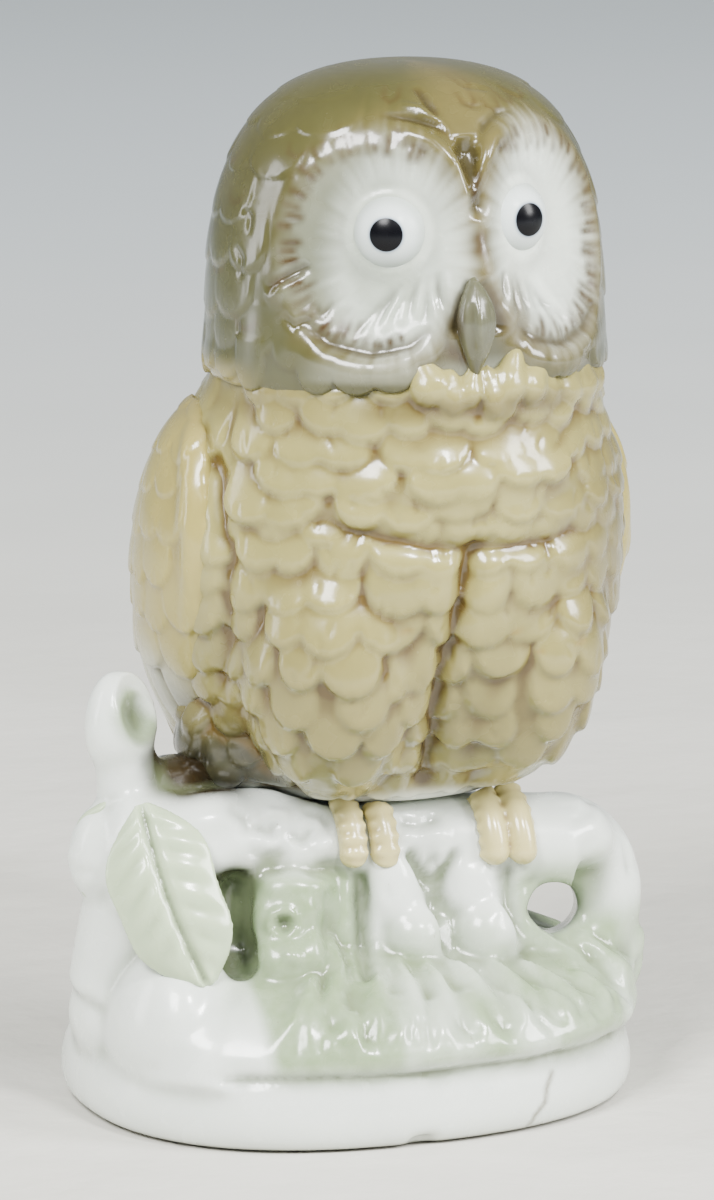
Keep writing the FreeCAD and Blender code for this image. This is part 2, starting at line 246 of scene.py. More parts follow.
class Clay:
    """A dense mesh's points, normals and painted masks as arrays, in millimetres."""

    def __init__(self, obj):
        self.obj = obj
        self.co = points_of(obj.data, "co") / MM
        self.normal = points_of(obj.data, "normal")
        self.masks = {}

    def near(self, points, width):
        """For each close vertex: its number, distance to the line, and share of the way along."""
        p = np.array([tuple(q) for q in points], float)
        reach = 3 * width
        low, high = p.min(0) - reach, p.max(0) + reach
        idx = np.where(((self.co > low) & (self.co < high)).all(1))[0]
        v = self.co[idx]
        best = np.full(len(idx), 1e9)
        share = np.zeros(len(idx))
        lengths = np.linalg.norm(np.diff(p, axis=0), axis=1)
        total, run = lengths.sum(), 0
        for a, b, length in zip(p[:-1], p[1:], lengths):
            t = np.clip(((v - a) @ (b - a)) / max(length ** 2, 1e-9), 0, 1)
            d = np.linalg.norm(v - (a + t[:, None] * (b - a)), axis=1)
            closer = d < best
            best[closer] = d[closer]
            share[closer] = (run + t[closer] * length) / total
            run += length
        return idx, best, share

    def weight(self, points, width, taper):
        idx, d, share = self.near(points, width)
        w = np.exp(-((d / width) ** 2))
        if taper > 0:
            w *= np.clip(np.minimum(share, 1 - share) / taper, 0, 1) ** 0.7
        return idx, w

    def stroke(self, points, width, height, taper=0.2):
        """Raises (or with a negative height presses in) a soft line."""
        idx, w = self.weight(points, width, taper)
        self.co[idx] += self.normal[idx] * (w * height)[:, None]

    def paint(self, mask, points, width, strength=1, taper=0.2):
        idx, w = self.weight(points, width, taper)
        layer = self.masks.setdefault(mask, np.zeros(len(self.co)))
        layer[idx] = np.maximum(layer[idx], w * strength)

    def flatten(self, middle, facing, radius):
        """Scrapes what stands proud of a plane down to it."""
        away = self.co - np.array(middle)
        proud = away @ np.array(facing)
        idx = (proud > 0) & (np.linalg.norm(away, axis=1) < radius)
        self.co[idx] -= np.outer(proud[idx], np.array(facing))

    def scales(self, stamps, sink=0):
        """Presses overlapping feathers, each a rounded scale that is thickest near its tip."""
        height = np.zeros(len(self.co))
        for tip, normal, down, width, length, thick in stamps:
            n = np.array(normal.normalized())
            d = np.array(down) - n * (np.array(down) @ n)
            d /= np.linalg.norm(d)
            b = np.cross(d, n)
            reach = max(width, length) * 1.1
            t = np.array(tip)
            idx = np.where((np.abs(self.co - t) < reach).all(1))[0]
            if not len(idx):
                continue
            idx = idx[self.normal[idx] @ n > 0.2]
            q = self.co[idx] - t
            u = (q @ b) / (width / 2)
            v = 1 + (q @ d) / length
            r = np.hypot(u, np.clip(v - 0.5, 0, None) / 0.5)
            edge = 1 - smoothstep(0.84, 1, r)
            ramp = 0.12 + 0.88 * smoothstep(-0.1, 0.85, v)
            barbs = 0.055 * np.cos(u * 16 + 3 * v) * smoothstep(0.45, 0.8, r)
            h = thick * ramp * edge * (1 - 0.28 * u * u + barbs) * (v > -0.15)
            height[idx] = np.maximum(height[idx], h)
        self.co += self.normal * (height - sink)[:, None]

    def wash(self, mask, strength, *bands):
        """Paints where every band holds: values, where it starts from nothing, where it is full."""
        values = strength
        for band, start, full in bands:
            values = values * smoothstep(start, full, band)
        layer = self.masks.setdefault(mask, np.zeros(len(self.co)))
        np.maximum(layer, np.clip(values, 0, 1), out=layer)

    def store(self):
        mesh = self.obj.data
        mesh.vertices.foreach_set("co", (self.co * MM).ravel())
        for name, values in self.masks.items():
            store_mask(mesh, name, values)
        mesh.update()
        return self.obj


def hollows(obj, rounds, depth):
    """Stores how deep each vertex lies below, or stands above, the relief's local average."""
    mesh = obj.data
    count = len(mesh.vertices)
    co, normal = points_of(mesh, "co") / MM, points_of(mesh, "normal")
    edges = np.empty(len(mesh.edges) * 2, dtype=np.int32)
    mesh.edges.foreach_get("vertices", edges)
    a, b = edges.reshape(-1, 2).T
    degree = np.bincount(a, minlength=count) + np.bincount(b, minlength=count)
    smooth = co.copy()
    for _ in range(rounds):
        total = np.stack([
            np.bincount(a, smooth[b, k], count) + np.bincount(b, smooth[a, k], count) for k in range(3)
        ], axis=1)
        smooth = total / np.maximum(degree, 1)[:, None]
    below = ((smooth - co) * normal).sum(1) / depth
    store_mask(mesh, "hollow", np.clip(below, 0, 1))
    store_mask(mesh, "crest", np.clip(-below, 0, 1))


def smoothstep(low, high, x):
    t = np.clip((x - low) / (high - low), 0, 1)
    return t * t * (3 - 2 * t)


# ---- placing things on a surface ----------------------------------------------------------
class Surface:
    """Finds points on a form from directions round an upright axis, or from the front."""

    def __init__(self, obj, axis):
        self.tree = tree_of(obj)
        self.axis = axis

    def round(self, turn, z):
        """turn in degrees from the breast, positive to the owl's left."""
        a = math.radians(turn)
        out = Vector((math.sin(a), -math.cos(a), 0))
        start = (Vector((self.axis.x, self.axis.y, z)) + out * 150) * MM
        hit, normal, _, _ = self.tree.ray_cast(start, -out)
        if hit is None:
            return None, None
        return hit / MM, normal

    def front(self, x, z):
        hit, normal, _, _ = self.tree.ray_cast(Vector((x, -200, z)) * MM, Vector((0, 1, 0)))
        return (hit / MM, normal) if hit is not None else (None, None)

    def line(self, pairs, lift=0):
        out = []
        for turn, z in pairs:
            hit, normal = self.round(turn, z)
            if hit is not None:
                out.append(hit + normal * lift)
        return out

    def front_line(self, pairs):
        hits = [self.front(x, z)[0] for x, z in pairs]
        return [h for h in hits if h is not None]


def feather_pad():
    """One plump feather, modelled once: 1 wide, 1 long, its tip toward +Y, resting on z = 0."""
    bpy.ops.mesh.primitive_uv_sphere_add(segments=12, ring_count=7, radius=0.5, location=(0, 0, 0))
    obj = bpy.context.object
    obj.name = "feather_pad"
    mesh = obj.data
    edit_mode()
    bpy.ops.mesh.select_all(action="DESELECT")
    object_mode()
    for v in mesh.vertices:
        v.select = v.co.y < -0.05
    edit_mode()
    bpy.ops.transform.resize(value=(0.78, 1, 0.8))
    bpy.ops.mesh.select_all(action="DESELECT")
    object_mode()
    for v in mesh.vertices:
        v.select = v.co.y > 0.1
    edit_mode()
    bpy.ops.transform.resize(value=(1.12, 0.96, 1.15))
    object_mode()
    return obj


PAD = feather_pad()


def feather(place, normal, down, width, length, thick, lift, roll=0):
    """A copy of the pad on the surface, its tip lifted by so many degrees."""
    n = normal.normalized()
    t = (down - n * down.dot(n)).normalized()
    t = Matrix.Rotation(math.radians(roll), 3, n) @ t
    b = t.cross(n).normalized()
    turn = Matrix((b, t, n)).transposed()
    turn = turn @ Matrix.Rotation(math.radians(lift), 3, "X")
    size = Matrix.Diagonal((width, length, thick))
    matrix = Matrix.Translation(place * MM) @ (turn @ size).to_4x4() @ Matrix.Scale(MM, 4)
    mesh = PAD.data.copy()
    mesh.transform(matrix)
    return add_object("feather", mesh)


# ---- glaze materials ----------------------------------------------------------------------
class Graph:
    """Shorthand for wiring shader nodes: a value may be a number, a colour or another node's output."""

    def __init__(self, tree):
        self.nodes, self.join = tree.nodes, tree.links.new
        self.place = self.nodes.new("ShaderNodeTexCoord").outputs["Object"]

    def fill(self, node, values):
        for key, value in values.items():
            if isinstance(value, bpy.types.NodeSocket):
                self.join(value, node.inputs[key])
            else:
                node.inputs[key].default_value = value
        return node

    def noise(self, scale, detail, rough=0.5):
        node = self.nodes.new("ShaderNodeTexNoise")
        self.fill(node, {"Vector": self.place, "Scale": scale, "Detail": detail, "Roughness": rough})
        return node.outputs["Fac"]

    def math(self, kind, *values, clamp=False):
        node = self.nodes.new("ShaderNodeMath")
        node.operation, node.use_clamp = kind, clamp
        return self.fill(node, dict(enumerate(values))).outputs[0]

    def span(self, value, low, high, to_low=0, to_high=1, curve="LINEAR"):
        node = self.nodes.new("ShaderNodeMapRange")
        node.interpolation_type = curve
        self.fill(node, {"Value": value, "From Min": low, "From Max": high, "To Min": to_low, "To Max": to_high})
        return node.outputs["Result"]

    def mix(self, factor, a, b):
        node = self.nodes.new("ShaderNodeMix")
        node.data_type = "RGBA"
        return self.fill(node, {"Factor": factor, 6: a, 7: b}).outputs[2]

    def mask(self, name):
        node = self.nodes.new("ShaderNodeAttribute")
        node.attribute_name = name
        return node.outputs["Fac"]

    def lighter(self, colour, value, saturation=1):
        node = self.nodes.new("ShaderNodeHueSaturation")
        return self.fill(node, {"Color": colour, "Value": value, "Saturation": saturation}).outputs["Color"]

    def bump(self, height, strength, distance, **under):
        node = self.nodes.new("ShaderNodeBump")
        self.fill(node, {"Height": height, "Strength": strength, "Distance": distance, **under})
        return node.outputs["Normal"]


def glaze_group():
    """Paint under glaze: airbrushed mottling, paint pooled in hollows, pin-prick specks, wavy glaze."""
    group = bpy.data.node_groups.new("painted_glaze", "ShaderNodeTree")
    for name, default in (("Colour", (0.8, 0.8, 0.8, 1)), ("Pooled Colour", (0.4, 0.3, 0.2, 1)), ("Pooling", 1),
                          ("Mottle", 0.1), ("Crest Wear", 0.2), ("Specks", 0.5)):
        kind = "NodeSocketColor" if isinstance(default, tuple) else "NodeSocketFloat"
        group.interface.new_socket(name, in_out="INPUT", socket_type=kind).default_value = default
    for name, kind in (("Colour", "Color"), ("Roughness", "Float"), ("Normal", "Vector")):
        group.interface.new_socket(name, in_out="OUTPUT", socket_type="NodeSocket" + kind)
    g = Graph(group)
    given = g.nodes.new("NodeGroupInput").outputs
    uneven = g.span(g.noise(160, 3), 0.3, 0.7, 0.75, 1.15)
    pooled = g.math("MULTIPLY", g.math("MULTIPLY", g.mask("hollow"), given["Pooling"]), uneven)
    colour = g.mix(pooled, given["Colour"], given["Pooled Colour"])
    colour = g.mix(g.math("MULTIPLY", g.mask("crest"), given["Crest Wear"]), colour, g.lighter(colour, 1.5, 0.95))
    mottle = g.math("MULTIPLY", g.span(g.noise(55, 5, 0.6), 0.25, 0.75, -1, 1), given["Mottle"])
    colour = g.lighter(colour, g.math("ADD", mottle, 1))
    speck = g.math("MULTIPLY", g.span(g.noise(900, 1), 0.80, 0.84), given["Specks"])
    g.fill(g.nodes.new("NodeGroupOutput"), {
        "Colour": g.mix(speck, colour, (0.16, 0.11, 0.06, 1)),
        "Roughness": g.span(g.noise(220, 2), 0.3, 0.7, 0.20, 0.30),
        "Normal": g.bump(g.noise(120, 2), 0.10, 0.0006),
    })
    return group


GLAZE = glaze_group()


def painted(name, base, layers=(), pooled=(0.4, 0.3, 0.2), pooling=1, mottle=0.1, wear=0.2, specks=0.4,
            subsurface=0.08):
    """Glazed porcelain. layers are (mask attribute, colour, strength), painted one over another."""
    mat = bpy.data.materials.new(name)
    mat.use_nodes = True
    g = Graph(mat.node_tree)
    ragged = g.noise(330, 3)
    colour = (*base, 1)
    for mask, paint, strength in layers:
        amount = g.mask(mask)
        wobble = g.math("MULTIPLY", g.math("MULTIPLY_ADD", ragged, 0.3, -0.15), amount)
        amount = g.math("MULTIPLY", g.math("ADD", wobble, amount), strength, clamp=True)
        colour = g.mix(amount, colour, (*paint, 1))
    glaze = g.nodes.new("ShaderNodeGroup")
    glaze.node_tree = GLAZE
    g.fill(glaze, {"Colour": colour, "Pooled Colour": (*pooled, 1), "Pooling": pooling, "Mottle": mottle,
                   "Crest Wear": wear, "Specks": specks})
    g.fill(g.nodes["Principled BSDF"], {
        "Base Color": glaze.outputs["Colour"], "Roughness": glaze.outputs["Roughness"],
        "Normal": glaze.outputs["Normal"], "Coat Weight": 0.35, "Coat Roughness": 0.11, "IOR": 1.48,
        "Subsurface Weight": subsurface, "Subsurface Radius": (0.9, 0.8, 0.6), "Subsurface Scale": 0.0025,
    })
    return mat


def finish_piece(obj, nodes, material, rounds=30, depth=0.5):
    """Stores the hollows, shades smooth, gives the material, hangs the piece under the root and hides the CAD pieces it
    replaces.
    """
    hollows(obj, rounds, depth)
    only(obj)
    bpy.ops.object.shade_smooth()
    obj.data.materials.clear()
    obj.data.materials.append(material)
    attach(obj, "root")
    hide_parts(*nodes)


# ---- feathers in rows ----------------------------------------------------------------------
def feather_rows(surface, rows, rng, turns=(-180, 180), loose=1, down=Vector((0, 0, -1))):
    """Scales in staggered rows. rows: height of the tips, pitch round the owl, width, length, thickness."""
    stamps = []
    for number, (z, pitch, width, length, thick) in enumerate(rows):
        hits = [surface.round(turns[0] + (turns[1] - turns[0]) * share, z)[0] for share in (0.2, 0.5, 0.8)]
        radii = [(hit - Vector((surface.axis.x, surface.axis.y, z))).length for hit in hits if hit is not None]
        if not radii:
            continue
        radius = sum(radii) / len(radii)
        count = max(2, round(math.radians(turns[1] - turns[0]) * radius / pitch))
        for k in range(count):
            share = (k + 0.25 + 0.5 * (number % 2)) / count
            turn = turns[0] + (turns[1] - turns[0]) * share + rng.uniform(-1.7, 1.7) * loose
            place, normal = surface.round(turn, z + rng.uniform(-0.9, 0.9) * loose)
            if place is None:
                continue
            grow = rng.uniform(1 - 0.13 * loose, 1 + 0.17 * loose)
            lean = Matrix.Rotation(math.radians(rng.uniform(-9, 9) * loose), 3, normal)
            stamps.append((place, normal, lean @ down, width * grow, length, thick * rng.uniform(0.85, 1.15)))
    return stamps


def move_flat_end(obj, top, shift, grow):
    """Draws the flat upper or lower end of a form out past its seam."""
    heights = [v.co.z for v in obj.data.vertices]
    level_z = max(heights) if top else min(heights)
    bpy.ops.object.select_all(action="DESELECT")
    only(obj)
    for item in (*obj.data.polygons, *obj.data.edges, *obj.data.vertices):
        item.select = False
    for v in obj.data.vertices:
        v.select = abs(v.co.z - level_z) < 0.2 * MM
    edit_mode()
    bpy.ops.mesh.select_mode(type="VERT")
    bpy.ops.transform.translate(value=(0, 0, shift * MM))
    bpy.ops.transform.resize(value=(grow, grow, 1))
    object_mode()


# ---- the owl's body --------------------------------------------------------------------------
def make_body():
    rng = random.Random(11)
    core = cad_copy("body_shell", "owl_body", inside_of=("body_shell", "head_shell"))
    move_flat_end(core, True, 4, 0.93)
    bib = ball("bib", (OWL_X + 0.5, -24.5, 113), (25.5, 16.8, 11), turn=(-6, 0, 0))
    legs = [
        ball("thigh", (OWL_X + side * 15.5 - 1.5, -17.5, 82), (16.5, 20, 26.5), turn=(9, 0, side * 10))
        for side in (-1, 1)
    ]
    rump = ball("rump", (-19, 3.5, 63.5), (11, 12.5, 11))
    core = join("owl_body", [core, bib, rump] + legs)
    rework(core, (1.2, 5), (FINE, 2))
    clay = Clay(core)
    surface = Surface(core, BODY_AXIS)
    parting = surface.line([(0, 105), (-1, 101), (-3, 95), (-5, 88), (-6, 80), (-6, 72), (-5, 64), (-3, 56)])
    clay.stroke(parting, 2.4, -3.6, taper=0.05)
    clay.stroke(parting, 1, -1.4, taper=0.05)
    clay.stroke(surface.line([(-46, 108.5), (-24, 104.5), (-8, 102.5), (4, 102), (18, 102), (36, 104.5)]), 1.6, -1.6)
    for side in (-1, 1):
        clay.stroke(surface.line([(side * 86, 121), (side * 72, 113), (side * 65, 100), (side * 67, 86),
                                  (side * 78, 73)]), 1.8, -1.6, taper=0.1)
    core = clay.store()
    soften(core, 0.5, 3)
    surface = Surface(core, BODY_AXIS)
    legs_and_back = feather_rows(surface, [
        (55.5, 6.5, 7.6, 9, 1.2), (60, 7, 8.4, 9.5, 1.4), (65.5, 7.4, 9, 10.5, 1.6),
        (71.5, 8, 9.6, 11.5, 1.75), (78, 8.4, 10.2, 12, 1.9), (84.5, 8.6, 10.6, 12, 1.9),
        (91, 8.6, 10.6, 12, 1.8), (97, 8.4, 10.2, 11, 1.6), (102.5, 8.4, 10.2, 10, 1.4),
    ], rng)
    breast = feather_rows(surface, [
        (105.6, 9.6, 12, 10, 2), (111, 9, 11.5, 10, 1.9), (116.5, 8.6, 10.8, 9.5, 1.8),
        (121.5, 8, 9.8, 9, 1.6), (126, 7.4, 9, 8.5, 1.3),
    ], rng, turns=(-62, 66), loose=1.5)
    back = feather_rows(surface, [
        (108.5, 8.4, 10.2, 11, 1.1), (115, 8.2, 10, 11, 1.1), (121.5, 8, 9.6, 10.5, 1),
    ], rng, turns=(80, 280))
    clay = Clay(core)
    clay.scales(legs_and_back + breast + back, sink=0.7)
    core = clay.store()
    soften(core, 0.45, 1)
    ruff_form = Surface(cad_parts["head_shell"], HEAD_AXIS)
    tufts = []
    for turn, z, width, length, thick, roll in (
        (-15.5, 131.6, 8.2, 9, 4.2, 24), (-8.5, 129.8, 6.4, 8.5, 4, 2), (-2, 130.6, 5, 8, 3.8, -14),
        (4.6, 129.4, 5.6, 10, 4.4, 8), (11.5, 131.8, 7.2, 11.5, 4.8, -20), (20, 130.6, 7.6, 9.5, 4.2, -44),
        (9, 128, 6, 7.5, 3.2, -12), (28, 129.6, 8, 8.5, 3.4, -36), (38, 129, 8.4, 8, 3, -16),
        (48, 129, 8.4, 8, 3, 0), (57, 129.2, 8, 7.5, 2.6, 8),
    ):
        place, normal = ruff_form.round(turn, max(z, 129.3))
        place.z = z - 0.6
        place += normal * (0.5 if turn < 24 else -0.5)
        tufts.append(feather(place, normal, -UP, width * 0.86, length, thick, 12, roll))
    body = join("owl_body", [core] + tufts)
    rework(body, (max(FINE, 0.62), 1))
    clay = Clay(body)
    surface = Surface(body, BODY_AXIS)
    for _ in range(170):            # shafts and barbs scratched into the feathers
        turn, z = rng.uniform(-66, 66), rng.uniform(58, 132)
        lean, length = rng.uniform(-3, 3), rng.uniform(2, 4.2)
        clay.stroke(surface.line([(turn, z), (turn + lean * 0.5, z - length / 2), (turn + lean, z - length)]),
                    0.5, -0.2, taper=0.4)
    co = clay.co
    turn = np.degrees(np.arctan2(co[:, 0] - BODY_AXIS.x, -(co[:, 1] - BODY_AXIS.y)))
    # Painted shade in umber: the owl's left flank and the lower body darker, a dark band under the ruff and darker
    # shoulders under the head's fringe.
    clay.wash("umber_and_shade", 1, (turn, 6, 58), (turn, 150, 85), (co[:, 2], 132, 108))
    clay.wash("umber_and_shade", 0.5, (co[:, 2], 104, 70))
    clay.wash("umber_and_shade", 0.9, (np.abs(co[:, 2] - 126.4), 3.6, 0.6), (np.abs(turn), 36, 24))
    clay.wash("umber_and_shade", 0.8, (co[:, 2], 119, 129), (np.abs(turn), 20, 60))
    clay.wash("white", 1, (co[:, 2], 58, 54))
    clay.wash("smoke_and_shade", 1, (np.abs(turn + 2), 52, 72), (co[:, 2], 74, 62))
    for middle, z in ((12, 87), (18, 83), (30, 84), (-18, 88.5)):
        clay.paint("ochre", surface.line([(middle - 2.5, z), (middle + 2.5, z + 0.6)]), 0.5, 0.7, taper=0.4)
    clay.store()
    material = painted(
        "feather_paint", (0.232, 0.205, 0.066),
        [("umber_and_shade", (0.115, 0.092, 0.026), 0.92), ("smoke_and_shade", (0.025, 0.024, 0.014), 0.95),
         ("ochre", (0.2, 0.13, 0.02), 0.9), ("white", (0.62, 0.64, 0.58), 1)],
        pooled=(0.080, 0.050, 0.011), pooling=1.15, mottle=0.12, wear=0.3,
    )
    finish_piece(body, ["body_shell"], material)


# ---- the owl's head ----------------------------------------------------------------------------
RIM = [(1.5, 158), (2, 162), (5, 166.5), (12, 170.2), (24, 172), (42, 172), (56, 169.5), (63, 163), (64, 154),
       (61, 146.5), (55, 140), (46, 136.2), (33, 135), (21, 136.3), (13, 139.5), (8, 144), (4, 149), (2, 153)]
UPPER_RIM = [(1.5, 157), (2, 162), (5, 166.5), (12, 170.2), (24, 172)]
LOWER_RIM = [(56, 141), (46, 137.2), (33, 135.6), (21, 137), (14, 140)]


def on_both_sides(pairs):
    return [[(side * turn, z) for turn, z in pairs] for side in (-1, 1)]


def face_masks(clay):
    """White faces with combed edges, smoky outer parts and tan borders, painted shade greying the owl's right face, and
    painted shade beside and below the beak.
    """
    co = clay.co
    dx, dy, dz = co[:, 0] - HEAD_AXIS.x, co[:, 1] - HEAD_AXIS.y, co[:, 2]
    turn = np.degrees(np.arctan2(dx, -dy))
    for side, middle, half_turn, mid_z, half_z in ((-1, -25, 26, 152, 18), (1, 33, 29, 153.5, 19.5)):
        across, over = (turn - middle) / half_turn, (dz - mid_z) / half_z
        spoke = np.arctan2(over, across)
        combed = 0.022 * np.sin(23 * spoke + 0.7) + 0.020 * np.sin(41 * spoke + 2) + 0.012 * np.sin(67 * spoke)
        r = np.hypot(across, over) + combed
        clay.wash("white", 1, (r, 1.14, 0.55))
        disc = np.hypot((turn - side * 32) / 31.5, (dz - 153.5) / 19) + combed
        clay.wash("tan", 0.8, (disc, 0.60, 0.90), (disc, 1.30, 0.92), (turn, -80, -8))
        clay.wash("umber_and_shade", 0.2 if side < 0 else 0.3, (disc, 0.78, 1), (disc, 1.22, 1.02), (dz, 172, 160))
        # Painted shade: the owl's right disc greyed, on the side turned away from the light.
        if side < 0:
            clay.wash("face_shade", 0.38, (disc, 1.10, 0.80))
    # Painted shade over the owl's right face, kept to the white of the face further down.
    clay.wash("right_face_shade", 1, (turn, -2, -14), (turn + 0.55 * (dz - 152), -8, -26))
    clay.wash("right_face_shade", 0.5 * smoothstep(-4, -12, turn) + 0.5 * smoothstep(150, 140, dz) * smoothstep(-2, -8, turn))
    clay.wash("tan", 0.62, (np.abs(turn - 8), 40, 4), (dz, 152, 168))
    for middle, z, wide, tall, much in (      # shade beside and below the beak
        (-8.5, 139.5, 6.5, 6, 0.8), (-14, 134.5, 9, 3, 0.5), (17, 142, 6, 6.5, 0.85),
        (20, 136, 9, 3.5, 0.6), (2.5, 150, 5, 5.5, 0.45),
    ):
        clay.wash("umber_and_shade", much * np.exp(-((turn - middle) / wide) ** 2 - ((dz - z) / tall) ** 2))
    clay.wash("tan", 0.7, (np.abs(turn - 1), 10, 3), (dz, 146, 150), (dz, 164, 158))
    clay.wash("smoke_and_shade", 0.85, (turn, -42, -66), (dz, 168, 150), (turn, -120, -90))
    clay.wash("smoke_and_shade", 0.55, (dz, 138, 132), (np.abs(turn), 100, 60))
    clay.wash("face_shade", clay.masks.pop("right_face_shade") * clay.masks["white"] ** 2)
    clay.wash("cream", 1, (dz, 134, 128.5), (turn, -64, -82))
    clay.wash("cream", 0.8, (dz, 133, 128), (np.abs(turn), 70, 95))
    clay.wash("pale", 0.4, (dz, 135.5, 133), (dz, 130, 131.5), (np.abs(turn + 16), 40, 26))


def make_head():
    rng = random.Random(5)
    core = cad_copy("head_shell", "owl_head", inside_of=("body_shell", "head_shell"))
    move_flat_end(core, False, -1.1, 0.985)
    pads = []
    skin = Surface(core, HEAD_AXIS)
    for side in (-1, 1):            # puffed lip under each disc, and the brow ridge over it
        line = skin.line([(side * 58, 136), (side * 44, 133.2), (side * 30, 132.2), (side * 17, 134),
                          (side * 11, 136.6)], -0.6)
        pads.append(tube("lip", line, [1.1, 2.1, 2.3, 2, 1.1]))
        brow = skin.line([(side * t, z) for t, z in UPPER_RIM], -0.7)
        pads.append(tube("brow", brow, [1, 1.8, 2.1, 2, 1.2]))
    core = join("owl_head", [core] + pads)
    rework(core, (1, 4), (FINE, 3))
    surface = Surface(core, HEAD_AXIS)
    clay = Clay(core)
    fringe = []
    for turns in ((-180, -17), (20, 180)):
        fringe += feather_rows(surface, [(128.6, 6.6, 8.2, 8, 0.9), (132.8, 7, 8.6, 8.5, 0.5)], rng, turns)
    sides = feather_rows(surface, [(139, 9, 11, 11, 0.45), (147, 9.5, 11.5, 11, 0.45), (155, 10, 12, 11, 0.42),
                                   (163, 10, 12, 11, 0.4)], rng, turns=(70, 290))
    crown = feather_rows(surface, [(170, 11, 12.5, 11, 0.35), (175, 12, 12.5, 9, 0.3)], rng, turns=(-180, 180))
    clay.scales(fringe + sides + [c for c in crown if c[0].y > -24], sink=0)
    head = clay.store()
    soften(head, 0.45, 1)
    clay = Clay(head)
    surface = Surface(head, HEAD_AXIS)
    for side, rim in zip((-1, 1), on_both_sides(RIM)):
        clay.stroke(surface.line(rim), 2.2, 0.26, taper=0.05)
    for rim in on_both_sides(UPPER_RIM):
        clay.stroke(surface.line(rim), 1.3, 0.7, taper=0.2)
    for rim in on_both_sides(LOWER_RIM):
        clay.stroke(surface.line(rim), 1.2, -0.75, taper=0.15)
    clay.stroke(surface.line([(1, 171), (1.8, 166), (2.2, 162), (2, 157.5)]), 1.9, -2.4, taper=0.15)
    for line, width, depth in (
        ([(-17, 178.3), (-12, 176.2), (-8, 173.8)], 0.6, -0.75),
        ([(-34, 174.2), (-20, 173.8), (-9, 172.6), (-3, 169.8)], 0.75, -0.8),
        ([(-26, 176), (-16, 175.2), (-7, 172.4), (-2, 169)], 0.8, 0.7),
        ([(34, 174), (22, 174), (12, 172.4), (6, 169.8)], 0.75, -0.65),
        ([(12, 178), (20, 177.8), (28, 177.2)], 0.6, -0.3),
        ([(4, 176), (12, 175), (20, 175.4)], 0.6, -0.3),
        ([(-66, 145.2), (-60, 147.6), (-54, 149.8)], 0.9, -0.9),
        ([(-66, 143.6), (-60, 145.8), (-54, 148)], 1, 0.3),
        ([(-80, 152), (-76, 150), (-77, 146.5)], 0.65, -0.4),
        ([(-79, 158), (-75, 157), (-74, 154)], 0.65, -0.35),
        ([(-60, 141.5), (-56, 139.4), (-52, 141.2)], 0.7, -0.55),
        ([(-52, 143.8), (-49, 141.4), (-46, 143.8)], 0.65, -0.35),
    ):
        clay.stroke(surface.line(line), width, depth, taper=0.3)
    for k in range(6):              # folds that fan out below each eye toward the beak and cheek
        spread = k / 5
        for side in (-1, 1):
            start = (side * (12 + 14 * spread), 149 - 2.5 * spread)
            end = (side * (10.5 + 29 * spread), 142 - 3.6 * spread + rng.uniform(-0.8, 0.8))
            middle = ((start[0] + end[0]) / 2 + rng.uniform(-0.6, 0.6), (start[1] + end[1]) / 2)
            clay.stroke(surface.line([start, middle, end]), 0.8, (-0.6, -0.4)[k % 2], taper=0.4)
            clay.stroke(surface.line([(start[0] + 2.8, start[1]), (end[0] + 3.4, end[1])]), 0.9, 0.3, taper=0.4)
    for side in (-1, 1):            # combed feather edges round the discs
        for (t0, z0), (t1, z1) in zip(RIM[3:13], RIM[4:14]):
            for share in (0.2, 0.7):
                turn, z = t0 + (t1 - t0) * share, z0 + (z1 - z0) * share
                inward = Vector(((31 - turn) * 0.55, 154 - z)).normalized() * rng.uniform(2.5, 4)
                line = surface.line([(side * turn, z), (side * (turn + inward.x / 0.55), z + inward.y)])
                if len(line) == 2:
                    clay.stroke(line, 0.6, -0.16, taper=0.3)
    for front, out in EYES.values():
        middle = front - out * 3.9
        clay.stroke(ring_points(middle, out, 6.1), 1.2, 0.75, taper=0)
    clay.stroke(surface.line([(-1, 147.5), (-5, 143.5), (-6.5, 138.5)]), 1.4, -0.9, taper=0.1)
    clay.stroke(surface.line([(2, 147.5), (6, 143.5), (7.5, 138.5)]), 1.4, -0.9, taper=0.1)
    face_masks(clay)
    paint_strokes(clay, surface, rng)
    clay.store()
    material = painted(
        "head_paint", (0.048, 0.045, 0.012),
        [("smoke_and_shade", (0.050, 0.050, 0.017), 0.8), ("cream", (0.20, 0.17, 0.055), 1),
         ("tan", (0.115, 0.090, 0.026), 0.85), ("pale", (0.26, 0.27, 0.20), 1),
         ("white", (0.56, 0.60, 0.53), 1), ("umber_and_shade", (0.060, 0.044, 0.013), 0.9),
         ("face_shade", (0.31, 0.345, 0.275), 0.85), ("brown_and_shade", (0.040, 0.022, 0.005), 0.95),
         ("dark_and_shade", (0.016, 0.005, 0.002), 1.1)],
        pooled=(0.030, 0.024, 0.009), pooling=0.75, mottle=0.18, wear=0.3,
    )
    finish_piece(head, ["head_shell"], material)


def ring_points(middle, axis, radius, count=24):
    side = axis.orthogonal().normalized()
    over = axis.cross(side)
    return [
        middle + (side * math.cos(a) + over * math.sin(a)) * radius
        for a in (math.tau * k / count for k in range(count + 1))
    ]


